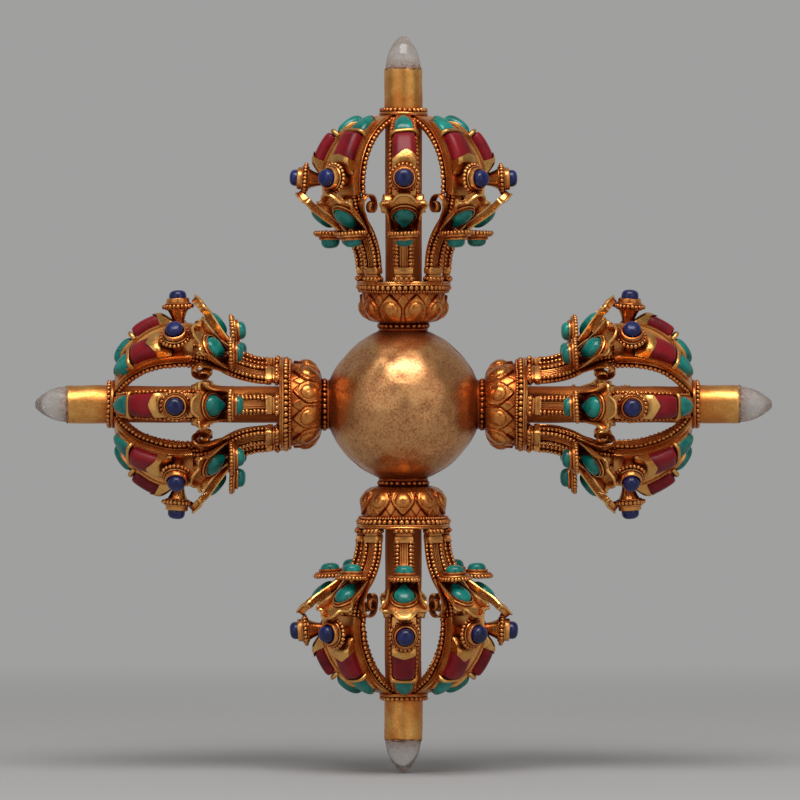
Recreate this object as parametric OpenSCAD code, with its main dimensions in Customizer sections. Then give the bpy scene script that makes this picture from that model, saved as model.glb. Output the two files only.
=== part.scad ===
// Crossed dorje: a hollow hub sphere carries four equal heads in the XZ plane.
// Each head is a lotus cup, a beaded rim and a cage of curved prongs round a tube,
// and every prong is set with turquoise, lapis and coral. A crystal closes each tube.
// Millimetres, +Z up, origin at the centre of the sphere. The cross faces -Y.

/* [Sphere] */
// Outside diameter of the hub sphere
sphere_d = 45.2; // [42:0.2:50]
// Wall of the two sphere shells
sphere_wall = 1.2; // [0.8:0.1:2]

/* [Core and tubes] */
// Outside diameter of the bare ends of the tubes
tube_d = 11.5; // [10.5:0.1:12]
// How much a tube is slimmer inside its head, all round
tube_step = 0.25; // [0.2:0.05:0.4]
// Wall of the slimmer part
tube_wall = 0.8; // [0.6:0.1:1.2]
// Diameter of the ball in the middle of the four-way core
core_d = 18.4; // [18:0.2:22]
// Distance from the centre to the shoulder that a tube stands on
core_reach = 11; // [10.5:0.1:13]
// Length of a core spigot inside its tube
spigot_len = 8; // [5:0.5:12]
// Bare tube between the tip collar and the crystal
bare_tube = 11.4; // [8:0.2:14]
// Clearance of pieces that slide together or lie on a curved seat
fit_gap = 0.05; // [0.02:0.01:0.1]

/* [Crystals] */
// Height of a crystal above its tube
crystal_h = 10; // [8:0.2:13]
// How far a crystal stands inside the rim of its tube
crystal_inset = 0.2; // [0.1:0.05:0.5]
// Height that the point of a crystal has lost to its polish
crystal_blunt = 1; // [0.4:0.1:2]
// Radius of the polished end of a crystal
crystal_dome_r = 4.6; // [4.4:0.1:5.2]
// Length of the crystal shank inside its tube
shank_len = 5; // [3:0.5:9]

/* [Necks] */
// Diameter of a neck collar
neck_d = 13; // [12.8:0.1:14]
// Height of the lotus foot above the top of the sphere
neck_rise = 1.8; // [1.7:0.1:3]
// Diameter of the neck beads
neck_bead_d = 1.6; // [1.2:0.1:1.65]

/* [Lotus cups] */
// Height of a lotus cup
lotus_h = 9.2; // [8.6:0.1:10]
// Widest diameter of the cup under its petals
lotus_d = 24.4; // [23.4:0.2:25.4]
// Diameter of the cup at its foot
lotus_foot_d = 17; // [16:0.2:19]
// Height of the widest part above the foot
lotus_belly = 6; // [5.4:0.1:6.6]
// Widening of the shoulder above the foot, for each millimetre of height
lotus_flare = 1.6; // [1.4:0.05:2]
// Petals round a cup
petals = 10; // [8:1:10]
// Width of a petal
petal_w = 7; // [6:0.1:7.2]
// Share of a petal's height that its straight sides reach
petal_spring = 0.33; // [0.25:0.01:0.45]
// How far a petal stands proud of the cup
petal_relief = 0.7; // [0.4:0.05:0.9]
// Distance of the points of the petals below the rim of the cup
petal_under = 0.3; // [0.2:0.05:0.6]
// Radius of the round boss on a petal
boss_r = 1.7; // [1.2:0.1:2]
// Width of a petal of the second row
sepal_w = 5.6; // [4.6:0.1:6]
// Share of its height that the straight sides of the second row reach
sepal_spring = 0.6; // [0.5:0.01:0.7]
// How far the second row of petals stands proud of the cup
sepal_relief = 0.35; // [0.2:0.05:0.5]

/* [Rims] */
// Diameter of the drum under the prongs
drum_d = 25.6; // [25:0.1:26]
// Diameter of the plate that the prong feet stand on
plate_d = 28.4; // [27.8:0.1:29.4]
// Thickness of that plate
plate_t = 0.9; // [0.6:0.1:1.3]
// Thickness of the lower flange of the rim
flange_t = 0.7; // [0.5:0.1:1]
// Diameter of the rim beads
rim_bead_d = 1.8; // [1.4:0.1:2]

/* [Prongs] */
// Prongs round a head
prongs = 8; // [6:1:8]
// Radius of the middle of the prong feet
foot_r = 12.7; // [12.3:0.1:12.8]
// Radial depth of a foot
foot_depth = 3; // [2.6:0.1:3.2]
// Width of a foot
foot_w = 7; // [6:0.1:7.6]
// Height of each of the three tiers of a foot
tier_h = 1.33; // [1:0.01:1.6]
// How much the waist of a foot is narrower on each side
foot_waist = 0.6; // [0.3:0.05:0.8]
// Height of a stem from its foot to the widest part of the cage
stem_rise = 24.4; // [23:0.1:26]
// Width of a stem
stem_w = 5.4; // [4.6:0.1:5.8]
// Radial depth of a stem
stem_depth = 2.8; // [2.2:0.1:3.2]
// How much the lower half of a stem is slimmer all round
stem_step = 0.15; // [0.1:0.05:0.3]
// Radius of the outer face of the cage at its widest
cage_r = 24.4; // [23.6:0.1:25.2]
// Radius of the arc of the outer face
arch_r = 21; // [20.6:0.1:21.6]
// Depth of a prong at the widest part
prong_depth = 4.6; // [4:0.1:5]
// Radius of the arc of the inner face
inner_r = 19.4; // [19:0.1:19.8]
// Height of the arcs' centre above the widest part
arch_lift = 0.6; // [0.2:0.1:1]
// Half width of a prong on the axis of its arm
wedge_w = 1.75; // [1.4:0.05:1.85]
// Gain of half width for each millimetre away from the axis
wedge_gain = 0.08; // [0.06:0.005:0.095]
// Height of the rails that hold the stones of the arch
rail_h = 1.6; // [1.2:0.1:2]
// Thickness of the rails
rail_t = 0.55; // [0.4:0.05:0.7]
// Diameter of the wire along the edges
wire_d = 1.1; // [0.8:0.05:1.2]

/* [Scrolls] */
// Radius of the outer turn of a scroll
scroll_r = 2.6; // [2.2:0.1:2.8]
// Radius of the inner turn of a scroll
scroll_eye_r = 1.6; // [1.4:0.1:1.8]
// Thickness of the ribbon in the outer turn
ribbon_t = 0.7; // [0.55:0.05:0.8]
// Thickness of the ribbon in the inner turn
eye_ribbon_t = 0.55; // [0.4:0.05:0.55]
// Width of the scroll ribbon
ribbon_w = 1.8; // [1.2:0.1:2.2]
// Depth of the scrolls below the widest part of the cage
scroll_drop = 4.6; // [4:0.1:6]

/* [Disc settings] */
// Depth of the top of the discs below the widest part of the cage
disc_drop = 13.4; // [12.9:0.1:14]
// Diameter of a disc inside its beads
disc_d = 7.5; // [7:0.1:8]
// Thickness of a disc
disc_t = 1.2; // [0.9:0.1:1.5]
// Diameter of the collet under a disc
collet_d = 8; // [7.4:0.1:8.4]
// Height of the collet with its waist
collet_h = 1.4; // [1.2:0.1:1.8]
// Diameter of the round turquoise
disc_stone_d = 6; // [5:0.1:6.4]
// Height of the round turquoise
disc_stone_h = 2.5; // [2:0.1:2.8]
// Diameter of the disc beads
disc_bead_d = 1.4; // [1.1:0.05:1.5]

/* [Leaf settings] */
// Depth of the leaf roots below the widest part of the cage
leaf_drop = 11.8; // [11.4:0.1:12.2]
// Thickness of a leaf
leaf_t = 0.9; // [0.7:0.05:1.1]
// Half width of a leaf at its root
leaf_root_w = 2.6; // [2:0.1:3]
// Room between a leaf and the stud above it
leaf_room = 0.5; // [0.4:0.1:1]
// Radius of the middle lobe of the lip
lobe_r = 2.6; // [2.2:0.1:2.9]
// Radius of the side lobes of the lip
side_lobe_r = 2.3; // [2:0.1:2.6]
// Distance of a side lobe from the middle
side_lobe_y = 3.4; // [3:0.1:3.8]
// Width of the raised border of the lip
border_t = 0.6; // [0.4:0.05:0.8]
// Height of the raised border of the lip
border_h = 0.7; // [0.4:0.05:1]
// Radius of the round end of the drop turquoise
drop_r = 3.1; // [2.7:0.05:3.3]
// Length of the drop from that round end's centre to its point
drop_len = 4.6; // [4.2:0.1:5]
// Distance of the drop from the root of the leaf
drop_u = 6.3; // [5.9:0.1:6.6]
// Height of the drop turquoise at its round end
drop_h = 2.4; // [2:0.1:2.8]
// Height of its upright wall at the point
drop_edge = 0.7; // [0.5:0.1:1]
// Wall of the drop's collet
drop_wall = 0.5; // [0.4:0.05:0.7]
// Height of the drop's collet
drop_wall_h = 1.2; // [0.8:0.1:1.5]

/* [Studs] */
// Distance of the studs along the outer face from the arcs' centre line
stud_at = 1.4; // [1:0.1:1.8]
// Diameter of the foot of a stud
stud_foot_d = 3.4; // [2.8:0.1:4]
// Height of the cone of a stud
cone_h = 4.4; // [4:0.1:5]
// Diameter of the plate that the beads of a stud lie round
stud_plate_d = 6.8; // [6.6:0.1:7]
// Thickness of that plate
stud_plate_t = 1.2; // [0.9:0.1:1.4]
// Height of the bezel of a stud
bezel_h = 2; // [1.6:0.1:2.4]
// Wall of the bezel
bezel_wall = 0.55; // [0.4:0.05:0.7]
// Diameter of the lapis
lapis_d = 5.8; // [5.2:0.1:5.9]
// Height of the lapis above its bezel
lapis_h = 2.6; // [2.2:0.1:2.8]
// Depth of the stone in its bezel
stone_seat = 1; // [0.6:0.1:1.4]
// Diameter of the stud beads
stud_bead_d = 1.3; // [1:0.05:1.35]

/* [Arch stones] */
// Gap from a stud's axis to its coral's gold leaf, along the outer face
tongue_at = 4.2; // [4:0.1:4.6]
// Thickness of the gold leaf
tongue_t = 0.7; // [0.5:0.05:0.9]
// Width of the gold leaf
tongue_w = 6.4; // [5.4:0.1:7]
// Length of the gold leaf along the coral
tongue_len = 4.6; // [3.6:0.1:5.4]
// Length of a coral along the outer face
coral_len = 8.2; // [7.6:0.1:8.4]
// Height of a coral above the outer face
coral_h = 4.2; // [3.6:0.1:4.6]
// Radius of the round back of a coral
coral_round = 3.3; // [3.1:0.1:4]
// Diameter of the bar between coral and crown stone
bar_d = 1.4; // [1.1:0.1:1.5]
// Length of that bar
bar_len = 7; // [6:0.1:7.6]
// Height of the bar's axis above the outer face
bar_h = 2.5; // [2.3:0.1:2.9]
// Radius of the round end of the crown turquoise
crown_r = 2.35; // [2:0.05:2.4]
// Length of the crown turquoise from that end's centre to its point
crown_len = 5.6; // [4.8:0.1:6]
// Height of the crown turquoise at its round end
crown_h = 2.3; // [2:0.1:2.6]
// Height of its upright wall at the point
crown_edge = 0.8; // [0.5:0.1:1.1]

/* [Tip collars] */
// Thickness of the washer on the prong tips
washer_t = 0.7; // [0.5:0.05:1]
// Width of the washer round the tube
washer_w = 1.5; // [1.2:0.1:2]
// Diameter of the collar beads
collar_bead_d = 1.5; // [1.2:0.05:1.7]

/* [Hidden] */
$fn = 64;
ARMS = ["top", "right", "bottom", "left"];
HUB_PARTS = ["sphere_front_shell", "sphere_back_shell", "core_hub", "neck_collars"];
ARM_PARTS = ["spine_tube", "crystal_tip", "lotus_cup", "rim", "prongs", "edge_wires",
    "leaf_settings", "disc_settings", "stud_posts", "tip_collar", "coral_clasps",
    "lapis_stones", "coral_stones", "turquoise_stones"];

gilt = "#c9953f";
dark_gilt = "#a9702c";
turquoise_blue = "#1f9484";
lapis_blue = "#2f3f94";
coral_red = "#97192f";
rock_crystal = "#e8e6e0";

// Length beyond every piece
far = 200;
// Overlap of shapes that make one body
bite = 0.2;
// Share of a radius that keeps a flank inside its round end
inside = 0.98;
// Distance of neighbouring beads as a share of their diameter
bead_pitch = 0.97;

sphere_r = sphere_d / 2;
tube_r = tube_d / 2;
spine_r = tube_r - tube_step;
tube_in_r = spine_r - tube_wall;
bore_r = spine_r + fit_gap;

lotus_z = sphere_r + neck_rise;
rim_z = lotus_z + lotus_h;
bead_z = rim_z + flange_t + rim_bead_d / 2;
plate_z = rim_z + flange_t + rim_bead_d;
foot_z = plate_z + plate_t;
stem_z = foot_z + 3 * tier_h;
cage_z = stem_z + stem_rise;
arch_z = cage_z + arch_lift;

arch_x = cage_r - arch_r;
inner_x = cage_r - prong_depth - inner_r;
belly_r = cage_r - prong_depth / 2;
bend_deg = 2 * atan((belly_r - foot_r) / stem_rise);
bend_r = stem_rise / (2 * sin(bend_deg));
collar_z = arch_z + sqrt(pow(arch_r, 2) - pow(bore_r - arch_x, 2));
tube_end = collar_z + washer_t + collar_bead_d + bare_tube;

stud_deg = deg(stud_at);
bezel_r = lapis_d / 2 + fit_gap + bezel_wall;
stud_h = cone_h + stud_plate_t + bezel_h;
stud_tip = on_arch(stud_deg, arch_r + stud_h);
disc_z = cage_z - disc_drop;
disc_r = stem_face(disc_z) + disc_d / 2;
leaf_root = [stem_face(cage_z - leaf_drop), cage_z - leaf_drop];
leaf_tip = [stud_tip[0], stud_tip[1] - bezel_r - leaf_room - leaf_t];
leaf_dir = leaf_tip - leaf_root;
leaf_len = norm(leaf_dir);
leaf_deg = atan2(leaf_dir[1], leaf_dir[0]);

tongue_from = stud_deg + deg(tongue_at);
coral_from = tongue_from + deg(tongue_t + fit_gap);
coral_to = coral_from + deg(coral_len);
bar_deg = coral_to + deg(fit_gap + bar_d / 2);
crown_deg = bar_deg + deg(bar_d / 2 + crown_r);
rail_to = crown_deg + deg(crown_len);
coral_w = 2 * (half_width(on_arch(coral_to, arch_r)[0]) - rail_t - fit_gap);

// Angle that a length along the outer face spans at the arc's centre
function deg(len) = len / arch_r * 180 / PI;
// Point of the prong plane at an angle and a radius of the outer arc
function on_arch(a, r) = [arch_x + r * cos(a), arch_z + r * sin(a)];
// Half width of a prong at a radius from the arm's axis
function half_width(r) = wedge_w + wedge_gain * r;
// Beads of a wire of some length
function bead_count(length, bead_d) = ceil(length / (bead_pitch * bead_d));
// Radius of the outer face of a stem at a height
function stem_face(z) =
    let (low = bend_r - stem_depth / 2 + stem_step, high = bend_r + stem_depth / 2)
    z - stem_z < low * sin(bend_deg)
        ? foot_r + bend_r - sqrt(pow(low, 2) - pow(z - stem_z, 2))
        : belly_r - bend_r + sqrt(pow(high, 2) - pow(cage_z - z, 2));

// Draws its children on the arm whose node is asked for, one arm for each quarter turn
module arm_part(part) {
    for (i = [0 : 3])
        union() {
            $front_petal = ARMS[i] == "bottom";
            rotate([0, i * 90, 0]) children();
        }
}

// Repeats its children on every prong of a head
module each_prong() {
    for (k = [0 : prongs - 1]) rotate(k * 360 / prongs) children();
}

// Repeats its children on both sides of a prong
module both_sides() {
    children();
    mirror([0, 1, 0]) children();
}

// Turns a drawing of radius and height into a slab across a prong
module slab(w) {
    rotate([90, 0, 0]) linear_extrude(w, center = true) children();
}

// Stands its children on the outer face, X outwards and Z towards the tip
module on_face(a) {
    translate([arch_x, 0, arch_z]) rotate([0, -a, 0]) translate([arch_r, 0, 0]) children();
}

// Lays its children on the plane of a leaf, X towards the lip and -Z towards the sphere
module on_leaf() {
    translate([leaf_root[0], 0, leaf_root[1]]) rotate([0, -leaf_deg, 0]) children();
}

// Wedge of the plane between two angles
module sector(reach, a0, a1) {
    polygon([[0, 0], for (i = [0 : 3]) let (a = a0 + (a1 - a0) * i / 3) reach * [cos(a), sin(a)]]);
}

// Part of a ring between two angles
module arc_band(r0, r1, a0, a1) {
    intersection() {
        difference() {
            circle(r1);
            circle(r0);
        }
        sector(2 * r1, a0, a1);
    }
}

// Band that follows the outer face between two angles, from one height to another
module face_band(h0, h1, a0, a1) {
    translate([arch_x, arch_z]) arc_band(arch_r + h0, arch_r + h1, a0, a1);
}

// Outline of a drop: a round end at the origin and a point at -length
module drop_outline(r, length) {
    touch = inside * r;
    circle(r);
    polygon([[-length, 0],
        [-touch * r / length, touch * sqrt(1 - pow(r / length, 2))],
        [-touch * r / length, -touch * sqrt(1 - pow(r / length, 2))]]);
}

// Ring of beads that run into each other, with a gap of some degrees round -X
module beaded_ring(r, bead_d, gap = 0) {
    n = bead_count(2 * PI * r, bead_d);
    for (i = [0 : n - 1]) let (a = i * 360 / n)
        if (gap == 0 || abs(a - 180) > gap) rotate(a) translate([r, 0, 0]) sphere(d = bead_d);
}

// Cabochon: a shank and a dome, standing on the XY plane
module cabochon(d, seat, h) {
    dome_r = (pow(d / 2, 2) + pow(h, 2)) / (2 * h);
    translate([0, 0, -seat]) cylinder(d = d, h = seat);
    intersection() {
        translate([0, 0, h - dome_r]) sphere(dome_r);
        cylinder(d = 2 * d, h = h);
    }
}

// Drop-shaped cabochon on the XY plane: an upright wall under a dome that falls towards the point
module drop_cabochon(r, length, edge, h) {
    rise = h - edge;
    dome_r = (pow(length, 2) + pow(rise, 2)) / (2 * rise);
    intersection() {
        linear_extrude(h + bite) drop_outline(r, length);
        translate([0, 0, h - dome_r]) sphere(dome_r);
    }
}

// Space that a prong may fill: its sides close in towards the axis of the arm
module wedge(edge) {
    linear_extrude(far) polygon([[0, edge - wedge_w], [far, edge - half_width(far)],
        [far, half_width(far) - edge], [0, wedge_w - edge]]);
}

// Half of an S-shaped stem: an arc across the prong plane
module stem_arc(x, z, w, half, a0, a1) {
    slab(w) translate([x, z]) arc_band(bend_r - half, bend_r + half, a0, a1);
}

// S-shaped stem with its faces moved out by a margin; the slimmer lower half runs into the upper
module stem(margin = 0) {
    half = stem_depth / 2 + margin;
    w = stem_w + 2 * margin;
    stem_arc(foot_r + bend_r, stem_z, w - 2 * stem_step, half - stem_step,
        180 - bend_deg - deg(bite), 180 + deg(bite));
    stem_arc(belly_r - bend_r, cage_z, w, half, -bend_deg, deg(bite));
}

// Outline of the arch of a prong, from the widest part to the tube
module arch_outline() {
    intersection() {
        difference() {
            translate([arch_x, arch_z]) circle(arch_r);
            translate([inner_x, arch_z]) circle(inner_r);
        }
        translate([bore_r, cage_z - stem_depth]) square(far);
    }
}

// The two halves of the hub sphere, parted in the plane of the arms
module sphere_shell(side) {
    color(gilt) difference() {
        sphere(sphere_r);
        sphere(sphere_r - sphere_wall);
        translate([-far / 2, side > 0 ? -far : 0, -far / 2]) cube(far);
        for (i = [0 : 3]) rotate([0, i * 90, 0]) cylinder(r = bore_r, h = far);
    }
}

// Four-way core: a ball with a stepped spigot for each tube
module core_hub() {
    color(dark_gilt) {
        sphere(d = core_d);
        for (i = [0 : 3]) rotate([0, i * 90, 0]) {
            translate([0, 0, tube_r]) cylinder(r = spine_r, h = core_reach - tube_r);
            translate([0, 0, core_reach - bite]) cylinder(r = tube_in_r - fit_gap, h = spigot_len + bite);
        }
    }
}

// Collars seated on the sphere, each with its ring of beads
module neck_collars() {
    ring_r = neck_d / 2 + fit_gap + neck_bead_d / 2;
    color(dark_gilt) for (i = [0 : 3]) rotate([0, i * 90, 0]) {
        difference() {
            cylinder(d = neck_d, h = lotus_z);
            sphere(sphere_r + fit_gap);
            cylinder(r = bore_r, h = far);
        }
        translate([0, 0, lotus_z - fit_gap - neck_bead_d / 2]) beaded_ring(ring_r, neck_bead_d);
    }
}

// Tube from the core to the crystal, with a wider bare end above the tip collar
module spine_tube() {
    color(gilt) difference() {
        union() {
            translate([0, 0, core_reach]) cylinder(r = spine_r, h = tube_end - core_reach);
            translate([0, 0, tube_end - bare_tube]) cylinder(r = tube_r, h = bare_tube);
        }
        translate([0, 0, core_reach - bite]) cylinder(r = tube_in_r, h = far);
    }
}

// Blunt pointed crystal with a shank that fits in the tube
module crystal_tip() {
    base_r = tube_r - crystal_inset;
    back = (pow(crystal_h + crystal_blunt, 2) - pow(base_r, 2)) / (2 * base_r);
    dome_z = crystal_h - crystal_dome_r;
    color(rock_crystal) translate([0, 0, tube_end]) {
        rotate_extrude() intersection() {
            translate([-back, 0]) circle(back + base_r);
            union() {
                square([tube_r, dome_z]);
                translate([0, dome_z]) circle(crystal_dome_r);
            }
            square(far);
        }
        translate([0, 0, -shank_len]) cylinder(r = tube_in_r - fit_gap, h = shank_len + bite);
    }
}

// Round wall of a lotus cup with its coned shoulder, moved out by a relief
module cup_wall(relief) {
    base_r = lotus_foot_d / 2 + relief;
    intersection() {
        translate([0, 0, lotus_belly]) sphere(lotus_d / 2 + relief);
        cylinder(r1 = base_r, r2 = base_r + lotus_h * lotus_flare, h = lotus_h);
    }
}

// Petal drawn upright and driven outwards: straight sides that close in a pointed arch under the rim
module petal(w, spring) {
    steps = 4;
    bow = 0.8;
    peak = lotus_h - petal_under;
    side = [for (i = [0 : steps]) let (t = i / steps)
        [w / 2 * cos(90 * t), peak * (spring + (1 - spring) * pow(t, bow))]];
    mirrored = [for (i = [steps - 1 : -1 : 0]) [-side[i][0], side[i][1]]];
    rotate([90, 0, 90]) linear_extrude(far)
        polygon(concat([[-w / 2, -bite], [w / 2, -bite]], side, mirrored));
}

// Repeats its children on every petal, the first at an angle
module each_petal(turn) {
    for (k = [0 : petals - 1]) rotate(turn + k * 360 / petals) children();
}

// Row of petals that stand proud of the cup, the first at an angle
module petal_row(relief, w, spring, turn) {
    intersection() {
        cup_wall(relief);
        each_petal(turn) petal(w, spring);
    }
}

// Cup with two rows of petals; each petal of the front row has a round boss
module lotus_cup() {
    half_step = 180 / petals;
    turn = $front_petal ? -90 : half_step - 90;
    boss_x = lotus_d / 2 + petal_relief - boss_r / 2;
    color(gilt) translate([0, 0, lotus_z]) difference() {
        union() {
            union() {
                union() {
                    cup_wall(0);
                    petal_row(petal_relief, petal_w, petal_spring, turn);
                }
                petal_row(sepal_relief, sepal_w, sepal_spring, turn + half_step);
            }
            each_petal(turn) translate([boss_x, 0, lotus_belly - boss_r / 2]) sphere(boss_r);
        }
        translate([0, 0, -bite]) cylinder(r = bore_r, h = far);
    }
}

// Drum with a flange and a plate, and the ring of beads between them
module rim() {
    bead_r = rim_bead_d / 2;
    color(gilt) {
        translate([0, 0, rim_z]) rotate_extrude() difference() {
            union() {
                square([drum_d / 2 + bead_r / 2, flange_t]);
                square([drum_d / 2, foot_z - rim_z]);
                translate([0, plate_z - rim_z]) square([plate_d / 2, plate_t]);
            }
            translate([0, -bite]) square([bore_r, far]);
        }
        translate([0, 0, bead_z]) beaded_ring(drum_d / 2 + bead_r + fit_gap, 2 * (bead_r - fit_gap));
    }
}

// Three-tiered foot of a prong with a waist in the middle
module foot() {
    insets = [0, foot_waist, foot_waist / 2];
    for (i = [0 : 2]) translate([foot_r, 0, foot_z + (i + 0.5) * tier_h])
        cube([foot_depth - insets[i], foot_w - 2 * insets[i], tier_h], center = true);
}

// One prong: foot, S-shaped stem and tapering arch with rails for its stones
module prong() {
    foot();
    stem();
    intersection() {
        slab(far) arch_outline();
        wedge(0);
    }
    difference() {
        intersection() {
            slab(far) face_band(-bite, rail_h, coral_from, rail_to);
            wedge(0);
        }
        wedge(rail_t);
    }
}

// The cage of a head
module prongs_cage() {
    color(dark_gilt) each_prong() prong();
}

// Wire on an arc of the prong plane, lying on one side of a prong
module edge_wire(x, z, r, a0, a1) {
    slab(wire_d) translate([x, z]) arc_band(r - wire_d / 2, r + wire_d / 2, a0, a1);
}

// Wires along both sides of the arches and the stems
module edge_wires() {
    side_r = inner_r + wire_d;
    meet_r = (half_width(0) + 2 * wire_d) / (tan(180 / prongs) - wedge_gain);
    last_deg = acos((meet_r - inner_x) / side_r);
    stem_y = (stem_w + wire_d) / 2 + fit_gap;
    color(gilt) each_prong() both_sides() {
        translate([0, wedge_w + fit_gap + wire_d / 2, 0]) rotate(atan(wedge_gain))
            edge_wire(inner_x, arch_z, side_r, 0, last_deg);
        translate([0, stem_y - stem_step, 0])
            edge_wire(foot_r + bend_r, stem_z, bend_r, 180 - bend_deg + deg(wire_d), 180);
        translate([0, stem_y, 0])
            edge_wire(belly_r - bend_r, cage_z, bend_r, -bend_deg, -deg(scroll_drop));
    }
}

// Spiral ribbon in the prong plane, its eye at the origin
module scroll_outline() {
    half = ribbon_t / 2;
    eye_half = eye_ribbon_t / 2;
    start = -60;
    turn = 180;
    lap = 8;
    end = 330;
    arc_band(scroll_r - half, scroll_r + half, start, turn);
    translate([scroll_eye_r - scroll_r, 0])
        arc_band(scroll_eye_r - eye_half, scroll_eye_r + eye_half, turn - lap, end);
}

// Lobes of the lip of a leaf, drawn in by a margin
module lobes(margin) {
    translate([leaf_len - lobe_r, 0]) circle(lobe_r - margin);
    for (s = [-1, 1])
        translate([leaf_len - lobe_r - side_lobe_r, s * side_lobe_y]) circle(side_lobe_r - margin);
}

// Leaf with a scalloped lip, a border and a drop-shaped collet, cut to lie on its stem
module leaf() {
    lip_from = leaf_len - lobe_r - side_lobe_r;
    difference() {
        on_leaf() {
            linear_extrude(leaf_t) {
                polygon([[-leaf_t, -leaf_root_w], [lip_from, -side_lobe_y - side_lobe_r * inside],
                    [lip_from, side_lobe_y + side_lobe_r * inside], [-leaf_t, leaf_root_w]]);
                lobes(0);
            }
            translate([0, 0, -border_h]) linear_extrude(border_h + bite) difference() {
                lobes(0);
                lobes(border_t);
                translate([lip_from - far, -far / 2]) square(far);
            }
            translate([drop_u, 0, -drop_wall_h]) linear_extrude(drop_wall_h + bite) difference() {
                drop_outline(drop_r + fit_gap + drop_wall, drop_len + fit_gap + drop_wall);
                drop_outline(drop_r + fit_gap, drop_len + fit_gap);
            }
        }
        stem(fit_gap);
    }
}

// Leaves of a head with the two ribbon scrolls beside each stem
module leaf_settings() {
    scroll_x = belly_r - bend_r + sqrt(pow(bend_r, 2) - pow(scroll_drop, 2)) - stem_depth / 2;
    color(gilt) each_prong() {
        leaf();
        both_sides() translate([0, stem_w / 2 + fit_gap + ribbon_w / 2, 0]) slab(ribbon_w)
            translate([scroll_x, cage_z - scroll_drop]) scroll_outline();
    }
}

// Disc with a collet on its sphere side, cut to lie on its stem, and its beads
module disc_settings() {
    ring_r = disc_d / 2 + fit_gap + disc_bead_d / 2;
    open_deg = acos((disc_d - disc_bead_d - 2 * fit_gap) / (2 * ring_r));
    color(gilt) each_prong() {
        difference() {
            translate([disc_r, 0, disc_z - disc_t]) {
                cylinder(d = disc_d, h = disc_t);
                translate([0, 0, -collet_h]) difference() {
                    union() {
                        cylinder(d = collet_d, h = stone_seat);
                        cylinder(d = disc_stone_d + 2 * bezel_wall, h = collet_h + bite);
                    }
                    translate([0, 0, -bite]) cylinder(d = disc_stone_d + 2 * fit_gap, h = stone_seat + bite);
                }
            }
            stem(fit_gap);
        }
        translate([disc_r, 0, disc_z - disc_t / 2]) beaded_ring(ring_r, disc_bead_d, open_deg);
    }
}

// Turned posts on the outer face, each with a bezel cup and a ring of beads
module stud_posts() {
    ring_r = stud_plate_d / 2 + fit_gap + stud_bead_d / 2;
    cup_z = stud_h - stone_seat;
    color(gilt) each_prong() on_face(stud_deg) rotate([0, 90, 0]) {
        rotate_extrude() polygon([[0, 0], [stud_foot_d / 2, 0], [bezel_r, cone_h],
            [stud_plate_d / 2, cone_h], [stud_plate_d / 2, cone_h + stud_plate_t],
            [bezel_r, cone_h + stud_plate_t], [bezel_r, stud_h], [bezel_r - bezel_wall, stud_h],
            [bezel_r - bezel_wall, cup_z], [0, cup_z]]);
        translate([0, 0, cone_h + stud_plate_t / 2]) beaded_ring(ring_r, stud_bead_d);
    }
}

// Gold leaf that hooks over the end of each coral, and the bar that ends it
module coral_clasps() {
    roof = coral_h + fit_gap;
    mid = tongue_from + deg(tongue_len / 2);
    color(gilt) each_prong() {
        intersection() {
            slab(tongue_w) {
                face_band(fit_gap, roof + tongue_t, tongue_from, coral_from - deg(fit_gap));
                face_band(roof, roof + tongue_t, tongue_from, tongue_from + deg(tongue_len));
            }
            on_face(mid) rotate([0, 90, 0]) translate([0, 0, -far / 2]) linear_extrude(far)
                polygon([[tongue_w, -tongue_w], [-tongue_w / 4, -tongue_w],
                    [-tongue_w, 0], [-tongue_w / 4, tongue_w], [tongue_w, tongue_w]]);
        }
        on_face(bar_deg) {
            translate([bar_h, 0, 0]) rotate([90, 0, 0]) cylinder(d = bar_d, h = bar_len, center = true);
            translate([fit_gap, -coral_w / 4, -bar_d / 4]) cube([bar_h, coral_w / 2, bar_d / 2]);
        }
    }
}

// Washer on the prong tips with a ring of beads round the tube
module tip_collar() {
    color(gilt) translate([0, 0, collar_z]) {
        difference() {
            cylinder(r = bore_r + washer_w, h = washer_t);
            translate([0, 0, -bite]) cylinder(r = bore_r, h = far);
        }
        translate([0, 0, washer_t + collar_bead_d / 2])
            beaded_ring(bore_r + collar_bead_d / 2, collar_bead_d);
    }
}

// Lapis domes in the bezels of the studs
module lapis_stones() {
    color(lapis_blue) each_prong() on_face(stud_deg) rotate([0, 90, 0]) translate([0, 0, stud_h])
        cabochon(lapis_d, stone_seat, lapis_h);
}

// Barrel-shaped corals between the rails
module coral_stones() {
    color(coral_red) each_prong() intersection() {
        slab(coral_w) face_band(fit_gap, coral_h, coral_from, coral_to);
        on_face((coral_from + coral_to) / 2) translate([coral_h - coral_round, 0, 0])
            cylinder(r = coral_round, h = far, center = true);
    }
}

// Round turquoise under each disc, drop on each leaf and drop on each crown
module turquoise_stones() {
    crown_sink = arch_r - sqrt(pow(arch_r, 2) - pow(crown_len, 2)) + bite;
    color(turquoise_blue) each_prong() {
        translate([disc_r, 0, disc_z - disc_t - collet_h]) mirror([0, 0, 1])
            cabochon(disc_stone_d, stone_seat, disc_stone_h);
        on_leaf() translate([drop_u, 0, -fit_gap]) mirror([0, 0, 1])
            drop_cabochon(drop_r, drop_len, drop_edge, drop_h);
        difference() {
            on_face(crown_deg) rotate([0, 90, 0]) translate([0, 0, -crown_sink])
                drop_cabochon(crown_r, crown_len, crown_edge + bite, crown_h + crown_sink);
            slab(far) translate([arch_x, arch_z]) circle(arch_r + fit_gap);
        }
    }
}

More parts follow.
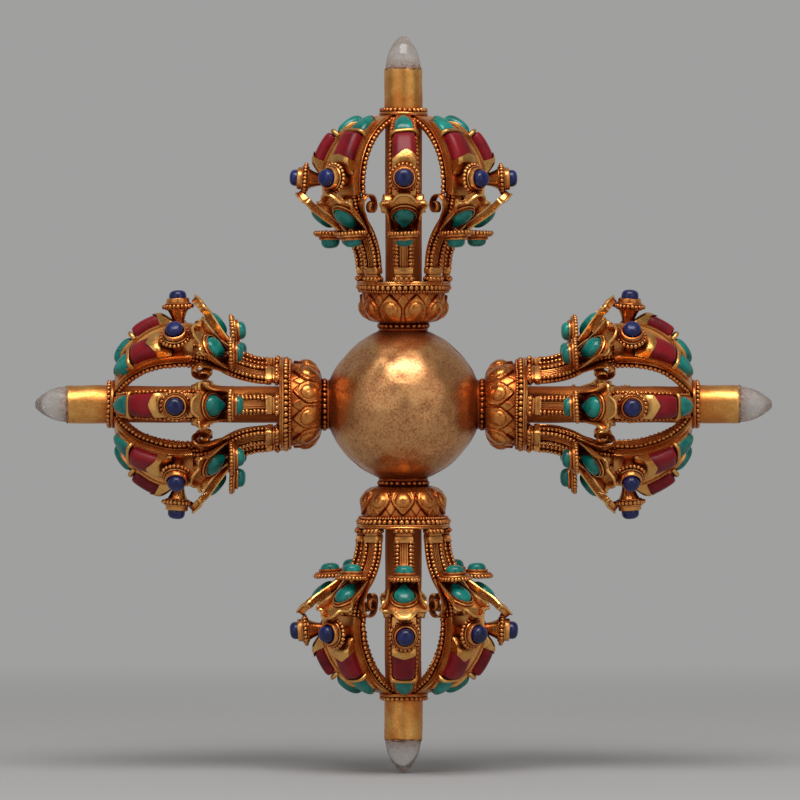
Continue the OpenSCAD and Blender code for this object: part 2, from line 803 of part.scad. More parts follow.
sphere_shell(-1);  // sphere_front_shell
sphere_shell(1);  // sphere_back_shell
core_hub();
neck_collars();
arm_part("spine_tube") spine_tube();
arm_part("crystal_tip") crystal_tip();
arm_part("lotus_cup") lotus_cup();
arm_part("rim") rim();
arm_part("prongs") prongs_cage();
arm_part("edge_wires") edge_wires();
arm_part("leaf_settings") leaf_settings();
arm_part("disc_settings") disc_settings();
arm_part("stud_posts") stud_posts();
arm_part("tip_collar") tip_collar();
arm_part("coral_clasps") coral_clasps();
arm_part("lapis_stones") lapis_stones();
arm_part("coral_stones") coral_stones();
arm_part("turquoise_stones") turquoise_stones();
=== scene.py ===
import math

import bpy
import numpy as np
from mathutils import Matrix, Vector


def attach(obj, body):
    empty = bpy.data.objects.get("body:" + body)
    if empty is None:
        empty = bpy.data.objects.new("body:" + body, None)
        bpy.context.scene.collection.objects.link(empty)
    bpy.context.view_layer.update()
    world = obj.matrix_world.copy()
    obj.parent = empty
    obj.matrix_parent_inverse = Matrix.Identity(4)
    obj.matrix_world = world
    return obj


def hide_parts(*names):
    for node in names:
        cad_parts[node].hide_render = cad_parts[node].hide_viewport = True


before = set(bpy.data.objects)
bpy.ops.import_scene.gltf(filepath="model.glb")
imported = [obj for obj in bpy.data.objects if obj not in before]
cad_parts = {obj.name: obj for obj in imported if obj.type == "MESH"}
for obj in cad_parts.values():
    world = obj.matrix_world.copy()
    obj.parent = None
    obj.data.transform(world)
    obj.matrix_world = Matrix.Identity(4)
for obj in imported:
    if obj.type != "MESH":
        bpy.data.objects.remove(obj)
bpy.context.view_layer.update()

# Lengths are millimetres in the frame of one head: Z along the arm, X outwards on a prong
MM = 0.001
ARMS = ["top", "right", "bottom", "left"]
PRONGS = 8

# Hub, lotus cup and rim
SPHERE_R, SHELL_IN_R = 22.6, 21.4
DENTS = 640
LOTUS_Z, LOTUS_H = 24.4, 9.2
PETALS, PETAL_R = 10, 12.3
BORE_R = 6
RIM_Z = 33.6

# Feet, stems and arches of the prongs
FOOT_R, FOOT_Z = 12.7, 37.0
STEM_Z = 40.99
CAGE_Z = 65.39
BELLY_R = 22.1
BEND_R, BEND_DEG = 18.2, 42.1
ARCH_X, ARCH_Z, ARCH_R = 3.4, 65.99, 21.0
INNER_X, INNER_R = 0.4, 19.4
RAIL_TO = 65.0
STEM_WIRE = 34  # points of the stem that its wires follow

# Settings and stones: angles on the arch, and places beside the stem
STUD_DEG = 3.82
CORAL_FROM, CORAL_TO = 17.0, 40.0
BAR_DEG = 41.9
CROWN_DEG = 50.07
LEAF_ROOT = np.array([19.55, 53.59])
LEAF_DEG = 37.2
LEAF_SEAT = np.array([6.0, 0])
WALL_POINTS = 6  # points in each ring of a wall
SCROLL_EYE = np.array([19.3, 59.8])
DISC_Z = 51.99

# Tube and crystal
TUBE_R, SPINE_R = 5.75, 5.5
COLLAR_Z = 86.5
TUBE_END = 100.48
CEMENT_R = 5.38
CRYSTAL_H = 10
OGIVE_R, OGIVE_BACK = 13.676, 8.126
TIP_R = 4.6

# Hand work: size and length of the bends, angle from which an edge is sharp, and seeds
BEND_MM, BEND_LENGTH = 0.09, 26
SHARP_DEG = 42
HEAD_SEED, NECK_SEED, HUB_SEED = 900, 60, 7


# Building blocks: each solid is a tuple of points, quads and triangles
def grid(rows, cols):
    """Quads of rows of points, each row closed on itself."""
    r = np.arange(rows - 1)[:, None] * cols
    c = np.arange(cols)[None, :]
    d = (c + 1) % cols
    return np.stack([r + c, r + d, r + cols + d, r + cols + c], axis=-1).reshape(-1, 4)


def solid(v, quads, tris=None):
    """Closed surface whose faces are turned outwards."""
    v = np.asarray(v, float)
    t = np.empty((0, 3), int) if tris is None else np.asarray(tris, int)
    every = np.concatenate([quads[:, [0, 1, 2]], quads[:, [0, 2, 3]], t])
    p = v[every] - v.mean(axis=0)
    if np.einsum("ij,ij->i", p[:, 0], np.cross(p[:, 1], p[:, 2])).sum() < 0:
        quads, t = quads[:, ::-1], t[:, ::-1]
    return v, quads, t


def loft(rings, looped=False):
    """Skin over rings of points; the ends are closed unless the last ring joins the first."""
    rings = np.asarray(rings, float)
    rows, cols = rings.shape[:2]
    v = rings.reshape(-1, 3)
    if looped:
        return solid(v, grid(rows + 1, cols) % (rows * cols))
    first, last = len(v), len(v) + 1
    v = np.vstack([v, rings[0].mean(axis=0), rings[-1].mean(axis=0)])
    c = np.arange(cols)
    d = (c + 1) % cols
    base = (rows - 1) * cols
    low = np.stack([np.full(cols, first), d, c], axis=1)
    high = np.stack([np.full(cols, last), base + c, base + d], axis=1)
    return solid(v, grid(rows, cols), np.vstack([low, high]))


def revolve(profile, steps):
    """Turned body from a closed profile of radius and height."""
    profile = np.asarray(profile, float)
    a = np.linspace(0, 2 * np.pi, steps, endpoint=False)
    r, z = profile[:, 0][:, None], profile[:, 1][:, None]
    return loft(np.stack([r * np.cos(a), r * np.sin(a), z + 0 * a], axis=-1), True)


def tangents(path, looped=False):
    """Unit directions along a path."""
    if looped:
        t = np.roll(path, -1, axis=0) - np.roll(path, 1, axis=0)
    else:
        t = np.gradient(path, axis=0)
    return t / np.linalg.norm(t, axis=1)[:, None]


def normals(path, looped=False):
    """Unit directions to the right of a flat path."""
    t = tangents(path, looped)
    return np.stack([t[:, 1], -t[:, 0]], axis=1)


def column(value, n):
    """Number, or row of numbers, as a column."""
    return np.broadcast_to(np.asarray(value, float), (n,))[:, None]


def wire(path, radius, sides=7, looped=False):
    """Round wire along a path, with a frame carried from point to point."""
    path = np.asarray(path, float)
    t = tangents(path, looped)
    side = np.cross(t[0], [0.31, 0.87, 0.38])
    frames = []
    for way in t:
        side = side - way * side.dot(way)
        side = side / np.linalg.norm(side)
        frames.append(side)
    u = np.array(frames)
    w = np.cross(t, u)
    a = np.linspace(0, 2 * np.pi, sides, endpoint=False)[:, None]
    round_it = u[:, None] * np.cos(a) + w[:, None] * np.sin(a)
    return loft(path[:, None] + column(radius, len(path))[..., None] * round_it, looped)


def bead_shape(cols=8, rows=5):
    """Unit ball for the beads."""
    a = np.linspace(0, 2 * np.pi, cols, endpoint=False)
    e = np.linspace(-np.pi / 2, np.pi / 2, rows + 1)[1:-1]
    rings = [[(np.cos(b) * np.cos(x), np.cos(b) * np.sin(x), np.sin(b)) for x in a] for b in e]
    v, q, t = loft(rings)
    v[-2] = (0, 0, -1)
    v[-1] = (0, 0, 1)
    return v, q, t


BEAD = bead_shape()


def beads(points, radius, rng, jitter):
    """Balls on a row of points, each a little different."""
    points = np.asarray(points, float)
    n = len(points)
    v, q, t = BEAD
    size = radius * (1 + jitter * rng.uniform(-1, 1, (n, 1, 3)))
    at = points + radius * jitter * rng.uniform(-1, 1, (n, 3))
    every = at[:, None] + v[None] * size
    step = (np.arange(n) * len(v))[:, None, None]
    return every.reshape(-1, 3), (q[None] + step).reshape(-1, 4), (t[None] + step).reshape(-1, 3)


def spread(path, pitch):
    """Points at an even pitch along a path."""
    path = np.asarray(path, float)
    run = np.concatenate([[0], np.cumsum(np.linalg.norm(np.diff(path, axis=0), axis=1))])
    n = max(int(round(run[-1] / pitch)), 1) + 1
    s = np.linspace(0, run[-1], n)
    return np.stack([np.interp(s, run, path[:, k]) for k in range(path.shape[1])], axis=1)


def hoop(r, a, z):
    """Points round the arm at given angles."""
    return np.column_stack([r * np.cos(a), r * np.sin(a), np.broadcast_to(z, a.shape)])


def ring(r, z, n, start=0.0):
    """Points of a circle round the arm."""
    return hoop(r, start + np.linspace(0, 2 * np.pi, n, endpoint=False), z)


def bar(inner, outer, half_in, half_out, corner, shift=0.0, steps=3):
    """Bar across a prong between two paths of radius and height, with rounded edges."""
    inner, outer = np.asarray(inner, float), np.asarray(outer, float)
    half_in, half_out, shift = (column(x, len(inner)) for x in (half_in, half_out, shift))
    depth = np.linalg.norm(outer - inner, axis=1)[:, None]
    along = (outer - inner) / depth
    c = np.minimum(corner, depth * 0.49)
    turn = np.concatenate([np.linspace(k * 90, k * 90 + 90, steps) for k in range(4)])
    turn = np.radians(turn)[None]
    quarter = np.repeat(np.arange(4), steps)[None]
    out_side = (quarter == 0) | (quarter == 3)
    left_side = (quarter == 0) | (quarter == 1)
    d = np.where(out_side, depth - c, c) + c * np.cos(turn)
    half = half_in + (half_out - half_in) * d / depth
    y = np.where(left_side, half - c, c - half) + c * np.sin(turn)
    rz = inner[:, None] + along[:, None] * d[..., None]
    return loft(np.stack([rz[..., 0], y + shift, rz[..., 1]], axis=-1))


def strip(path, half_w, half_d, corner, shift=0.0):
    """Bar of even depth along a path of radius and height."""
    path = np.asarray(path, float)
    off = normals(path) * column(half_d, len(path))
    return bar(path - off, path + off, half_w, half_w, corner, shift)


def raised(outline, height):
    """Flat points at a height."""
    return np.column_stack([outline, np.full(len(outline), height)])


def wall(path, low, high, thick, flare=0.0, looped=False):
    """Thin wall along a flat path, from one height to another, with WALL_POINTS to each ring."""
    path = np.asarray(path, float)
    n = normals(path, looped)
    h = thick / 2
    shape = [(-h, low), (h, low), (h + flare * 0.6, high - h), (h * 0.6 + flare, high),
             (flare - h * 0.6, high), (flare * 0.6 - h, high - h)]
    return loft(np.stack([raised(path + n * off, z) for off, z in shape], axis=1), looped)


def dome(outline, profile):
    """Stone or boss over a flat outline: rings shrink by a share and rise by a height."""
    outline = np.asarray(outline, float)
    mid = outline.mean(axis=0)
    return loft([raised(mid + (outline - mid) * s, h) for s, h in profile])


def placed(part, origin, x, y, z):
    """Part laid in a frame of three directions."""
    v, q, t = part
    frame_axes = np.stack([x, y, z])
    return solid(np.asarray(origin) + v @ frame_axes, q, t)


def turned(part, degrees):
    """Part turned round the arm."""
    v, q, t = part
    a = math.radians(degrees)
    m = np.array([[math.cos(a), math.sin(a), 0], [-math.sin(a), math.cos(a), 0], [0, 0, 1]])
    return v @ m, q, t


def waver(v, amount, length, rng):
    """Bends of hand work: a smooth field of shifts."""
    out = np.zeros_like(v)
    for _ in range(4):
        k = rng.normal(size=(3, 3)) * 2 * np.pi / length
        phase = rng.uniform(0, 2 * np.pi, 3)
        out += np.sin(v @ k.T + phase)
    return v + out * amount / 2


# Frames on a prong
def arc(x, z, r, a0, a1, n):
    """Path of radius and height on a circle."""
    a = np.radians(np.linspace(a0, a1, n))
    return np.stack([x + r * np.cos(a), z + r * np.sin(a)], axis=1)


def half_width(r):
    """Half width of a prong at a radius."""
    return 1.75 + 0.08 * r


def on_arch(a, h):
    """Radius and height of a point above the outer face."""
    a = np.radians(a)
    return np.stack([ARCH_X + (ARCH_R + h) * np.cos(a), ARCH_Z + (ARCH_R + h) * np.sin(a)], axis=-1)


def face_frame(degrees):
    """Origin and directions of a place on the outer face: along, across, outwards."""
    a = math.radians(degrees)
    c, s = math.cos(a), math.sin(a)
    r, z = on_arch(degrees, 0.0)
    return [r, 0, z], [-s, 0, c], [0, 1, 0], [c, 0, s]


def leaf_frame(tilt):
    """Origin and directions of a leaf: along, across, and towards the stone."""
    a = math.radians(LEAF_DEG + tilt)
    c, s = math.cos(a), math.sin(a)
    return [LEAF_ROOT[0], 0, LEAF_ROOT[1]], [c, 0, s], [0, 1, 0], [s, 0, -c]


def stem_path(n):
    """Middle of the S-shaped stem."""
    low = arc(FOOT_R + BEND_R, STEM_Z, BEND_R, 180, 180 - BEND_DEG, n)
    high = arc(BELLY_R - BEND_R, CAGE_Z, BEND_R, -BEND_DEG, 3, n)
    return np.vstack([low, high[1:]])


def sided(path, y):
    """Path of radius and height as points, at a place across the prong."""
    return np.column_stack([path[:, 0], np.broadcast_to(y, (len(path),)), path[:, 1]])


def lifted(path, y, normal):
    """Path of radius and height as points, moved along its normal and across the prong."""
    return sided(path + normals(path) * np.asarray(normal)[..., None], y)


# Pieces of one prong
def prong_body(rng):
    """Foot, stem and arch of a prong."""
    parts = []
    tiers = [(0, 0.9, 2.9, 1.35), (0.8, 2.0, 2.45, 1.2), (1.9, 2.4, 2.2, 1.05),
             (2.3, 4.1, 2.75, 1.4)]
    for z0, z1, half_w, half_d in tiers:
        z = np.linspace(FOOT_Z + z0, FOOT_Z + z1, 4)
        swell = 1 + np.array([-0.03, 0.02, 0.02, -0.03])
        low = np.column_stack([FOOT_R - half_d * swell, z])
        high = np.column_stack([FOOT_R + half_d * swell, z])
        parts.append(bar(low, high, half_w * swell, half_w * swell, 0.35))
    row_z = FOOT_Z + 0.75
    front = [[FOOT_R + 1.2, y, row_z] for y in np.linspace(-2.25, 2.25, 4)]
    sides = [[FOOT_R + x, y, row_z] for x in (-0.9, 0.15) for y in (-2.6, 2.6)]
    parts.append(beads(front + sides, 0.72, rng, 0.08))
    path = stem_path(22)
    grow = np.linspace(0, 1, len(path))
    parts.append(strip(path, 1.95 + 0.35 * grow, 0.6 + 0.5 * grow, 0.3))
    outer = on_arch(np.linspace(-9, 83.0, 44), 0.0)
    inner = arc(INNER_X, ARCH_Z, INNER_R, -7, 73.4, 44)
    half_in, half_out = half_width(inner[:, 0]) - 0.1, half_width(outer[:, 0]) - 0.1
    parts.append(bar(inner, outer, half_in, half_out, 0.35))
    a = np.linspace(12, RAIL_TO, 26)
    taper = np.clip((RAIL_TO - a) / 9, 0.15, 1)
    closing = np.clip((a - 50) / 15, 0, 1) ** 1.5
    low, high = on_arch(a, -0.3), on_arch(a, 1.35 * taper)
    for s in (-1, 1):
        y = s * (half_width(low[:, 0]) - 0.3 - 1.1 * closing)
        parts.append(bar(low, high, 0.24, 0.24, 0.16, y))
    return parts


def prong_wires(rng):
    """Beaded and plain wires along the arch and the stem."""
    parts = []
    stem = stem_path(20)
    grow = np.linspace(0, 1, len(stem))
    for s in (-1, 1):
        for r, size in ((19.6, 0.17), (21.5, 0.2)):
            path = arc(INNER_X, ARCH_Z, r, -6, 67, 32)
            parts.append(wire(sided(path, s * half_width(path[:, 0])), size))
        path = arc(INNER_X, ARCH_Z, 20.55, -10, 69, 48)
        row = sided(path, s * (half_width(path[:, 0]) + 0.55))
        parts.append(beads(spread(row, 1.4), 0.74, rng, 0.1))
        for out, across in ((1.0, 1.95), (-0.3, 2.4)):
            line = lifted(stem, s * (across + 0.3 * grow), out + 0.2 * grow)
            parts.append(beads(spread(line[:STEM_WIRE], 1.2), 0.66, rng, 0.1))
        for across, size in ((1.0, 0.24), (0.36, 0.2)):
            line = lifted(stem, s * (across + 0.2 * grow), 0.62 + 0.5 * grow)
            parts.append(wire(line[:STEM_WIRE], size, 6))
        line = lifted(stem, s * (2.2 + 0.3 * grow), -0.95)
        parts.append(wire(line, 0.4))
    return parts


def drop_outline(r, length, tip, n=18):
    """Round end at the origin and a rounded point at -length."""
    back = length - tip
    lean = math.acos((r - tip) / back)
    a = np.linspace(lean - math.pi, math.pi - lean, n)
    b = np.linspace(math.pi - lean, math.pi + lean, n // 3 + 1)
    big = np.stack([r * np.cos(a), r * np.sin(a)], axis=1)
    end = np.stack([-back + tip * np.cos(b), tip * np.sin(b)], axis=1)
    side = np.linspace(0, 1, 5)[1:-1, None]
    up = big[-1] + (end[0] - big[-1]) * side
    down = end[-1] + (big[0] - end[-1]) * side
    return np.vstack([big, up, end, down])


# Profiles of the stones: share of the outline and share of the height
STONE = [(0.9, -0.3), (1.0, 0.0), (1.0, 0.3), (0.985, 0.46), (0.94, 0.62), (0.86, 0.75),
         (0.74, 0.86), (0.58, 0.94), (0.4, 0.98), (0.2, 1.0), (0.04, 1.005)]
ROUND_STONE = [(0.9, -0.3), (1.0, 0.0), (1.0, 0.16), (0.985, 0.32), (0.95, 0.48), (0.89, 0.62),
               (0.8, 0.74), (0.68, 0.85), (0.52, 0.93), (0.34, 0.98), (0.16, 1.0), (0.04, 1.005)]


def cabochon(outline, height, profile=STONE):
    """Domed stone on an outline."""
    return dome(outline, [(s, h * height) for s, h in profile])


def cut_corners(p, after):
    """Points at a quarter and three quarters of the way to the points after them."""
    return np.stack([p * 0.75 + after * 0.25, p * 0.25 + after * 0.75], axis=1).reshape(-1, 2)


def smooth(points, rounds=2):
    """Open path whose corners are cut off again and again."""
    p = np.asarray(points, float)
    for _ in range(rounds):
        p = np.vstack([p[:1], cut_corners(p[:-1], p[1:])[1:-1], p[-1:]])
    return p


def leaf_outline():
    """Outline of a leaf from one root to the other, round its three lobes."""
    half = smooth([[-0.6, 3.0], [3.0, 3.8], [7.2, 4.2], [9.6, 5.1], [11.3, 6.4], [12.0, 5.8],
                   [11.5, 4.3], [12.0, 3.0], [13.6, 2.4], [14.9, 1.3], [15.1, 0]])
    return np.vstack([half, half[-2::-1] * [1, -1]])


def curled(part):
    """Part of a leaf whose lip and side lobes bend away from the stone."""
    v, q, t = part
    v = v.copy()
    v[:, 2] -= 0.9 * np.clip((v[:, 0] - 9.5) / 6, 0, 1) ** 2
    v[:, 2] -= 0.4 * np.clip((np.abs(v[:, 1]) - 4.6) / 2, 0, 1) ** 2
    return v, q, t


def scroll(rng, side):
    """Ribbon that leaves the stem beside the leaf and curls up at its end."""
    turn = np.linspace(-50, 470, 50)
    size = 3.0 - 2.3 * np.clip((turn - 60) / 410, 0, 1)
    a = np.radians(turn)
    curl = SCROLL_EYE + np.stack([0.86 * size * np.cos(a), 1.1 * size * np.sin(a)], axis=1)
    tail = arc(BELLY_R - BEND_R, CAGE_Z, BEND_R + 0.6, -46, -27, 8)
    run = np.clip((turn + 50) / 520, 0, 1)
    swell = 0.95 + 1.5 * run * (1 - run) - 0.5 * run ** 2
    wide = np.concatenate([np.linspace(0.6, 0.95, len(tail)), swell])
    splay = np.concatenate([np.linspace(3.5, 4.1, len(tail)), 4.1 + 2.1 * run ** 0.8])
    shift = side * (splay + rng.normal(0, 0.12))
    return strip(np.vstack([tail, curl]), wide, 0.22, 0.16, shift)


def leaf_setting(rng):
    """Leaf with a turned-up border, the collet of its stone, and a scroll on each side."""
    parts = []
    f = leaf_frame(rng.normal(0, 1.2))
    outline = leaf_outline()
    outline = outline * (1 + rng.normal(0, 0.015, 2))
    plate = dome(outline, [(0.97, -0.75), (1.0, -0.6), (1.0, -0.25), (0.96, -0.1), (0.6, -0.05)])
    parts.append(placed(curled(plate), *f))
    lip = np.clip((outline[:, 0] - 2) / 8, 0, 1)
    dip = np.exp(-(np.abs(outline[:, 1]) - 4.2) ** 2) * np.clip((outline[:, 0] - 9.5) / 1.5, 0, 1)
    rise = np.repeat(0.85 + 0.45 * lip - 0.8 * dip, WALL_POINTS)
    v, q, t = wall(outline, -0.6, 1.0, 0.34, -0.75)
    v[:-2, 2] = np.where(v[:-2, 2] > 0, v[:-2, 2] * rise, v[:-2, 2])
    border = curled((v, q, t))
    parts.append(placed(border, *f))
    edge = border[0][:-2].reshape(-1, WALL_POINTS, 3)[:, 3:5].mean(axis=1)
    parts.append(placed(wire(edge, 0.42, 6), *f))
    seat = drop_outline(3.6, 5.5, 0.9) + LEAF_SEAT
    parts.append(placed(wall(seat, -0.2, 1.15, 0.36, 0.1, True), *f))
    loop = drop_outline(4.15, 6.0, 1.1) + LEAF_SEAT
    parts.append(placed(wire(raised(loop, 0.25), 0.34, 7, True), *f))
    return parts + [scroll(rng, s) for s in (-1, 1)]


def leaf_stone(rng):
    """Drop turquoise of a leaf."""
    wide = 3.24 * (1 + rng.normal(0, 0.02))
    shape = drop_outline(wide, 5.1 + rng.normal(0, 0.1), 0.85) + LEAF_SEAT
    return placed(cabochon(shape, 2.75 + rng.normal(0, 0.12), ROUND_STONE), *leaf_frame(0))


def disc_centre():
    """Radius of the middle of a disc."""
    return BELLY_R - BEND_R + math.sqrt((BEND_R + 1.4) ** 2 - (CAGE_Z - DISC_Z) ** 2) + 3.75


def disc_frame(rng):
    """Origin and directions of a disc, its stone towards the sphere."""
    a = math.radians(rng.normal(0, 2.0))
    b = math.radians(rng.normal(0, 2.0))
    x = np.array([math.cos(a), 0, -math.sin(a)])
    z = np.array([-math.sin(a), math.sin(b), -math.cos(a)])
    z /= np.linalg.norm(z)
    y = np.cross(z, x)
    return [disc_centre(), 0, DISC_Z], x, y, z


def circle(r, n=28):
    """Flat circle."""
    a = np.linspace(0, 2 * np.pi, n, endpoint=False)
    return np.stack([r * np.cos(a), r * np.sin(a)], axis=1)


def disc_setting(rng, f):
    """Disc with a beaded wire, a plain wire and the collet of its stone."""
    parts = []
    for profile in ([(0.1, 0), (3.8, 0), (3.95, 0.2), (3.95, 1.0), (3.8, 1.2), (0.1, 1.2)],
                    [(2.9, 1.1), (3.9, 1.1), (4.05, 1.35), (3.95, 1.7), (3.3, 1.8), (3.42, 2.3),
                     (3.35, 2.55), (3.1, 2.6), (3.0, 2.3), (2.9, 1.6)]):
        parts.append(placed(revolve(profile, 32), *f))
    around = ring(4.42, 0.52, 26, rng.uniform(0, 1))
    keep = around[around[:, 0] > -2.9]
    local = beads(keep, 0.66, rng, 0.07)
    parts.append(placed(local, *f))
    loop = ring(4.25, 1.3, 40)
    loop = loop[np.argsort(np.arctan2(loop[:, 1], loop[:, 0]))]
    loop = loop[loop[:, 0] > -2.6]
    parts.append(placed(wire(loop, 0.33), *f))
    return parts


def disc_stone(rng, f):
    """Round turquoise of a disc."""
    v, q, t = cabochon(circle(2.8 * (1 + rng.normal(0, 0.02))), 2.8 + rng.normal(0, 0.15))
    return placed((v + [0, 0, 1.9], q, t), *f)


def stud_frame(rng):
    """Origin and directions of a stud."""
    origin, x, y, z = face_frame(STUD_DEG)
    lean = np.array([0, rng.normal(0, 0.02), 0]) + np.array(x) * rng.normal(0, 0.02)
    z = np.array(z) + lean
    z /= np.linalg.norm(z)
    y = np.cross(z, x)
    y /= np.linalg.norm(y)
    return origin, np.cross(y, z), y, z


def stud_post(rng, f):
    """Cone with a beaded ring, plain wires and the bezel of the lapis."""
    profile = [(0.1, -0.4), (1.9, -0.4), (1.75, 0.5), (2.0, 1.6), (2.5, 2.9), (3.1, 4.0),
               (3.5, 4.4), (3.7, 4.7), (3.7, 5.4), (3.4, 5.6), (3.4, 5.75), (3.4, 7.1),
               (3.25, 7.45), (2.95, 7.55), (2.75, 7.4), (2.72, 6.6), (0.1, 6.6)]
    parts = [placed(revolve(profile, 32), *f)]
    parts.append(placed(beads(ring(4.2, 5.05, 22, rng.uniform(0, 1)), 0.67, rng, 0.08), *f))
    for r, z in ((3.62, 5.85), (3.5, 4.3)):
        parts.append(placed(wire(ring(r, z, 36), 0.3, 6, True), *f))
    return parts


def stud_stone(rng, f):
    """Lapis of a stud."""
    v, q, t = cabochon(circle(2.6 * (1 + rng.normal(0, 0.015))), 2.7 + rng.normal(0, 0.12))
    return placed((v + [0, 0, 7.3], q, t), *f)


def coral_stone(rng):
    """Coral slab over the walls of the arch, rounded on its back and its ends."""
    s = np.linspace(-1, 1, 22)
    mid = (CORAL_FROM + CORAL_TO) / 2 + rng.normal(0, 0.3)
    top = 4.05 + rng.normal(0, 0.12)
    side = np.linspace(0, np.pi, 19)
    across = np.sign(np.cos(side)) * np.abs(np.cos(side)) ** 0.55
    over = np.sin(side) ** 0.62
    rings = []
    for a, end in zip(mid + s * (CORAL_TO - CORAL_FROM) / 2, (1 - np.abs(s) ** 7) ** 0.35):
        half = (half_width(on_arch(a, 2.0)[0]) - 0.12) * (0.9 + 0.1 * end)
        h = 0.9 + (top - 0.9) * (0.5 + 0.5 * end) * over
        back = sided(on_arch(np.full(len(h), a), h), half * across)
        foot = sided(on_arch(np.array([a, a]), 0.1), [-half * 0.9, half * 0.9])
        rings.append(np.vstack([back, foot]))
    return loft(rings)


def clasp(rng):
    """Gold leaf from the stud over the end of the coral, and the bar at the other end."""
    s = np.linspace(-1, 1, 21)
    lean = rng.normal(0, 0.08)
    apex = 23.2 + rng.normal(0, 1.0)
    foot, shoulder, wide = 8.0, 18.6, 3.62
    flat = np.clip(np.abs(s) / 0.8, 0, 1)
    drop = np.clip((np.abs(s) - 0.8) / 0.2, 0, 1)
    point = 1 - np.clip(np.abs(s + lean) / 0.86, 0, 1) ** 1.15
    reach = shoulder + (apex - shoulder) * point
    rings = []
    for u in np.linspace(0, 1, 14):
        a = foot + (reach - foot) * u
        climb = np.clip((a - foot) / 10.5, 0, 1)
        crown = 1.2 + 3.2 * np.sin(climb * np.pi / 2) ** 1.2 - 0.75 * flat ** 4
        h = crown * (1 - drop) + 0.5 * drop
        y = np.sign(s) * (wide * flat + 0.12 * drop) * (0.96 + 0.04 * climb)
        outer = sided(on_arch(a, h), y)
        inner = sided(on_arch(a, np.maximum(h - 0.45, 0.2)), y * 0.93)
        rings.append(np.vstack([outer, inner[::-1]]))
    tilt = rng.normal(0, 0.5)
    y = np.array([0, 1, 2, 3.0, 3.45, 3.7, 3.75])
    h = np.array([3.0, 3.0, 2.95, 2.8, 2.45, 1.7, 0.9])
    y, h = np.concatenate([-y[:0:-1], y]), np.concatenate([h[:0:-1], h])
    return [loft(rings), wire(sided(on_arch(BAR_DEG + tilt * y / 4, h), y), 0.66, 9)]


def crown_stone(rng):
    """Pointed turquoise at the top of the arch."""
    half = np.array([[-2.6, 0], [-2.6, 2.2], [-1.9, 2.85], [0.7, 2.85], [2.9, 2.3], [4.8, 1.25],
                     [5.9, 0.3]]) * [1, 1 + rng.normal(0, 0.03)]
    outline = np.vstack([half, half[:0:-1] * [1, -1]])
    for _ in range(2):
        outline = cut_corners(outline, np.roll(outline, -1, axis=0))
    v, q, t = cabochon(outline, 2.75 + rng.normal(0, 0.12))
    v[:, 2] -= v[:, 0] ** 2 / (2 * ARCH_R) - 0.1
    return placed((v, q, t), *face_frame(CROWN_DEG))


# Pieces round the arm
def lotus(centred, rng):
    """Cup with two rows of petals, worked as relief on a round wall."""
    cols, rows = 420, 50
    a = np.linspace(0, 2 * np.pi, cols, endpoint=False)[None]
    h = np.linspace(0, LOTUS_H, rows)[:, None]
    base = np.interp(h, [0, 0.3, 0.75, 1.7, 3.8, 5.9, 8.0, LOTUS_H],
                     [7.5, 8.9, 9.8, 11.0, 12.0, 12.35, 12.45, 12.5])
    pitch = 2 * np.pi / PETALS
    start = -np.pi / 2 + (0 if centred else pitch / 2)
    index = np.round((a - start) / pitch)
    skew = rng.normal(0, 0.012, PETALS + 1)[index.astype(int) % PETALS]
    x = (a - start - index * pitch + skew) * PETAL_R
    # Front row: the petal, its border, and the boss in its ring with a dimple
    up = np.clip((h - 4.0) / 4.75, 0, 1)
    down = np.clip((4.0 - h) / 4.0, 0, 1)
    half = 3.7 * (1 - up ** 1.4) - 0.8 * down ** 2
    inside = np.where(h > 8.75, -1.0, half - np.abs(x))
    rise = np.clip(inside / 0.5, 0, 1)
    relief = 0.55 * rise * rise * (3 - 2 * rise)
    relief = relief + 0.18 * np.exp(-((inside - 0.42) / 0.22) ** 2)
    far = (x / 2.75) ** 2 + ((h - 4.0) / 2.75) ** 2
    relief = relief + 0.2 * np.exp(-((np.sqrt(far) - 0.96) / 0.12) ** 2) * (inside > 0.5)
    far = (x / 2.3) ** 2 + ((h - 3.9) / 2.4) ** 2
    relief = relief + 0.95 * np.sqrt(np.clip(1 - far, 0, 1)) * (inside > 0.4)
    relief = relief - 0.14 * np.exp(-((x / 0.5) ** 2 + ((h - 4.1) / 0.5) ** 2))
    relief = relief - 0.26 * np.exp(-(inside / 0.22) ** 2)
    # Back row: the tips that show between the petals of the front row
    between = np.abs(np.abs(x) - pitch / 2 * PETAL_R)
    half_b = 3.0 * np.clip((9.0 - h) / 4.6, 0, 1) ** 0.8
    tip = np.clip((half_b - between) / 0.5, 0, 1) * (inside < 0.2)
    relief = relief + 0.3 * tip
    edge = np.exp(-((half_b - between) / 0.22) ** 2) * (inside < -0.1)
    relief = relief - 0.12 * edge
    r = base + relief * np.clip(h / 0.8, 0, 1) + 0 * a
    outer = np.stack([r * np.cos(a), r * np.sin(a), LOTUS_Z + h + 0 * a], axis=-1)
    bore_low, bore_high = ([hoop(BORE_R, a[0], z)] for z in (LOTUS_Z, RIM_Z))
    return [loft(np.concatenate([bore_low, outer, bore_high]), True)]


def rim(rng):
    """Drum between two wires with a ring of beads, and the plate under the prongs."""
    profile = [(BORE_R, 33.5), (12.9, 33.5), (13.25, 33.7), (13.3, 34.0), (13.1, 34.25),
               (12.7, 34.4), (12.7, 35.9), (13.6, 36.05), (14.0, 36.3), (14.15, 36.6),
               (13.95, 36.95), (13.5, 37.05), (BORE_R, 37.05)]
    parts = [revolve(profile, 96)]
    parts.append(beads(ring(13.45, 35.1, 50, rng.uniform(0, 1)), 0.86, rng, 0.07))
    parts.append(wire(ring(13.75, 36.05, 80), 0.38, 7, True))
    parts.append(beads(ring(13.2, 33.95, 92), 0.46, rng, 0.08))
    return parts


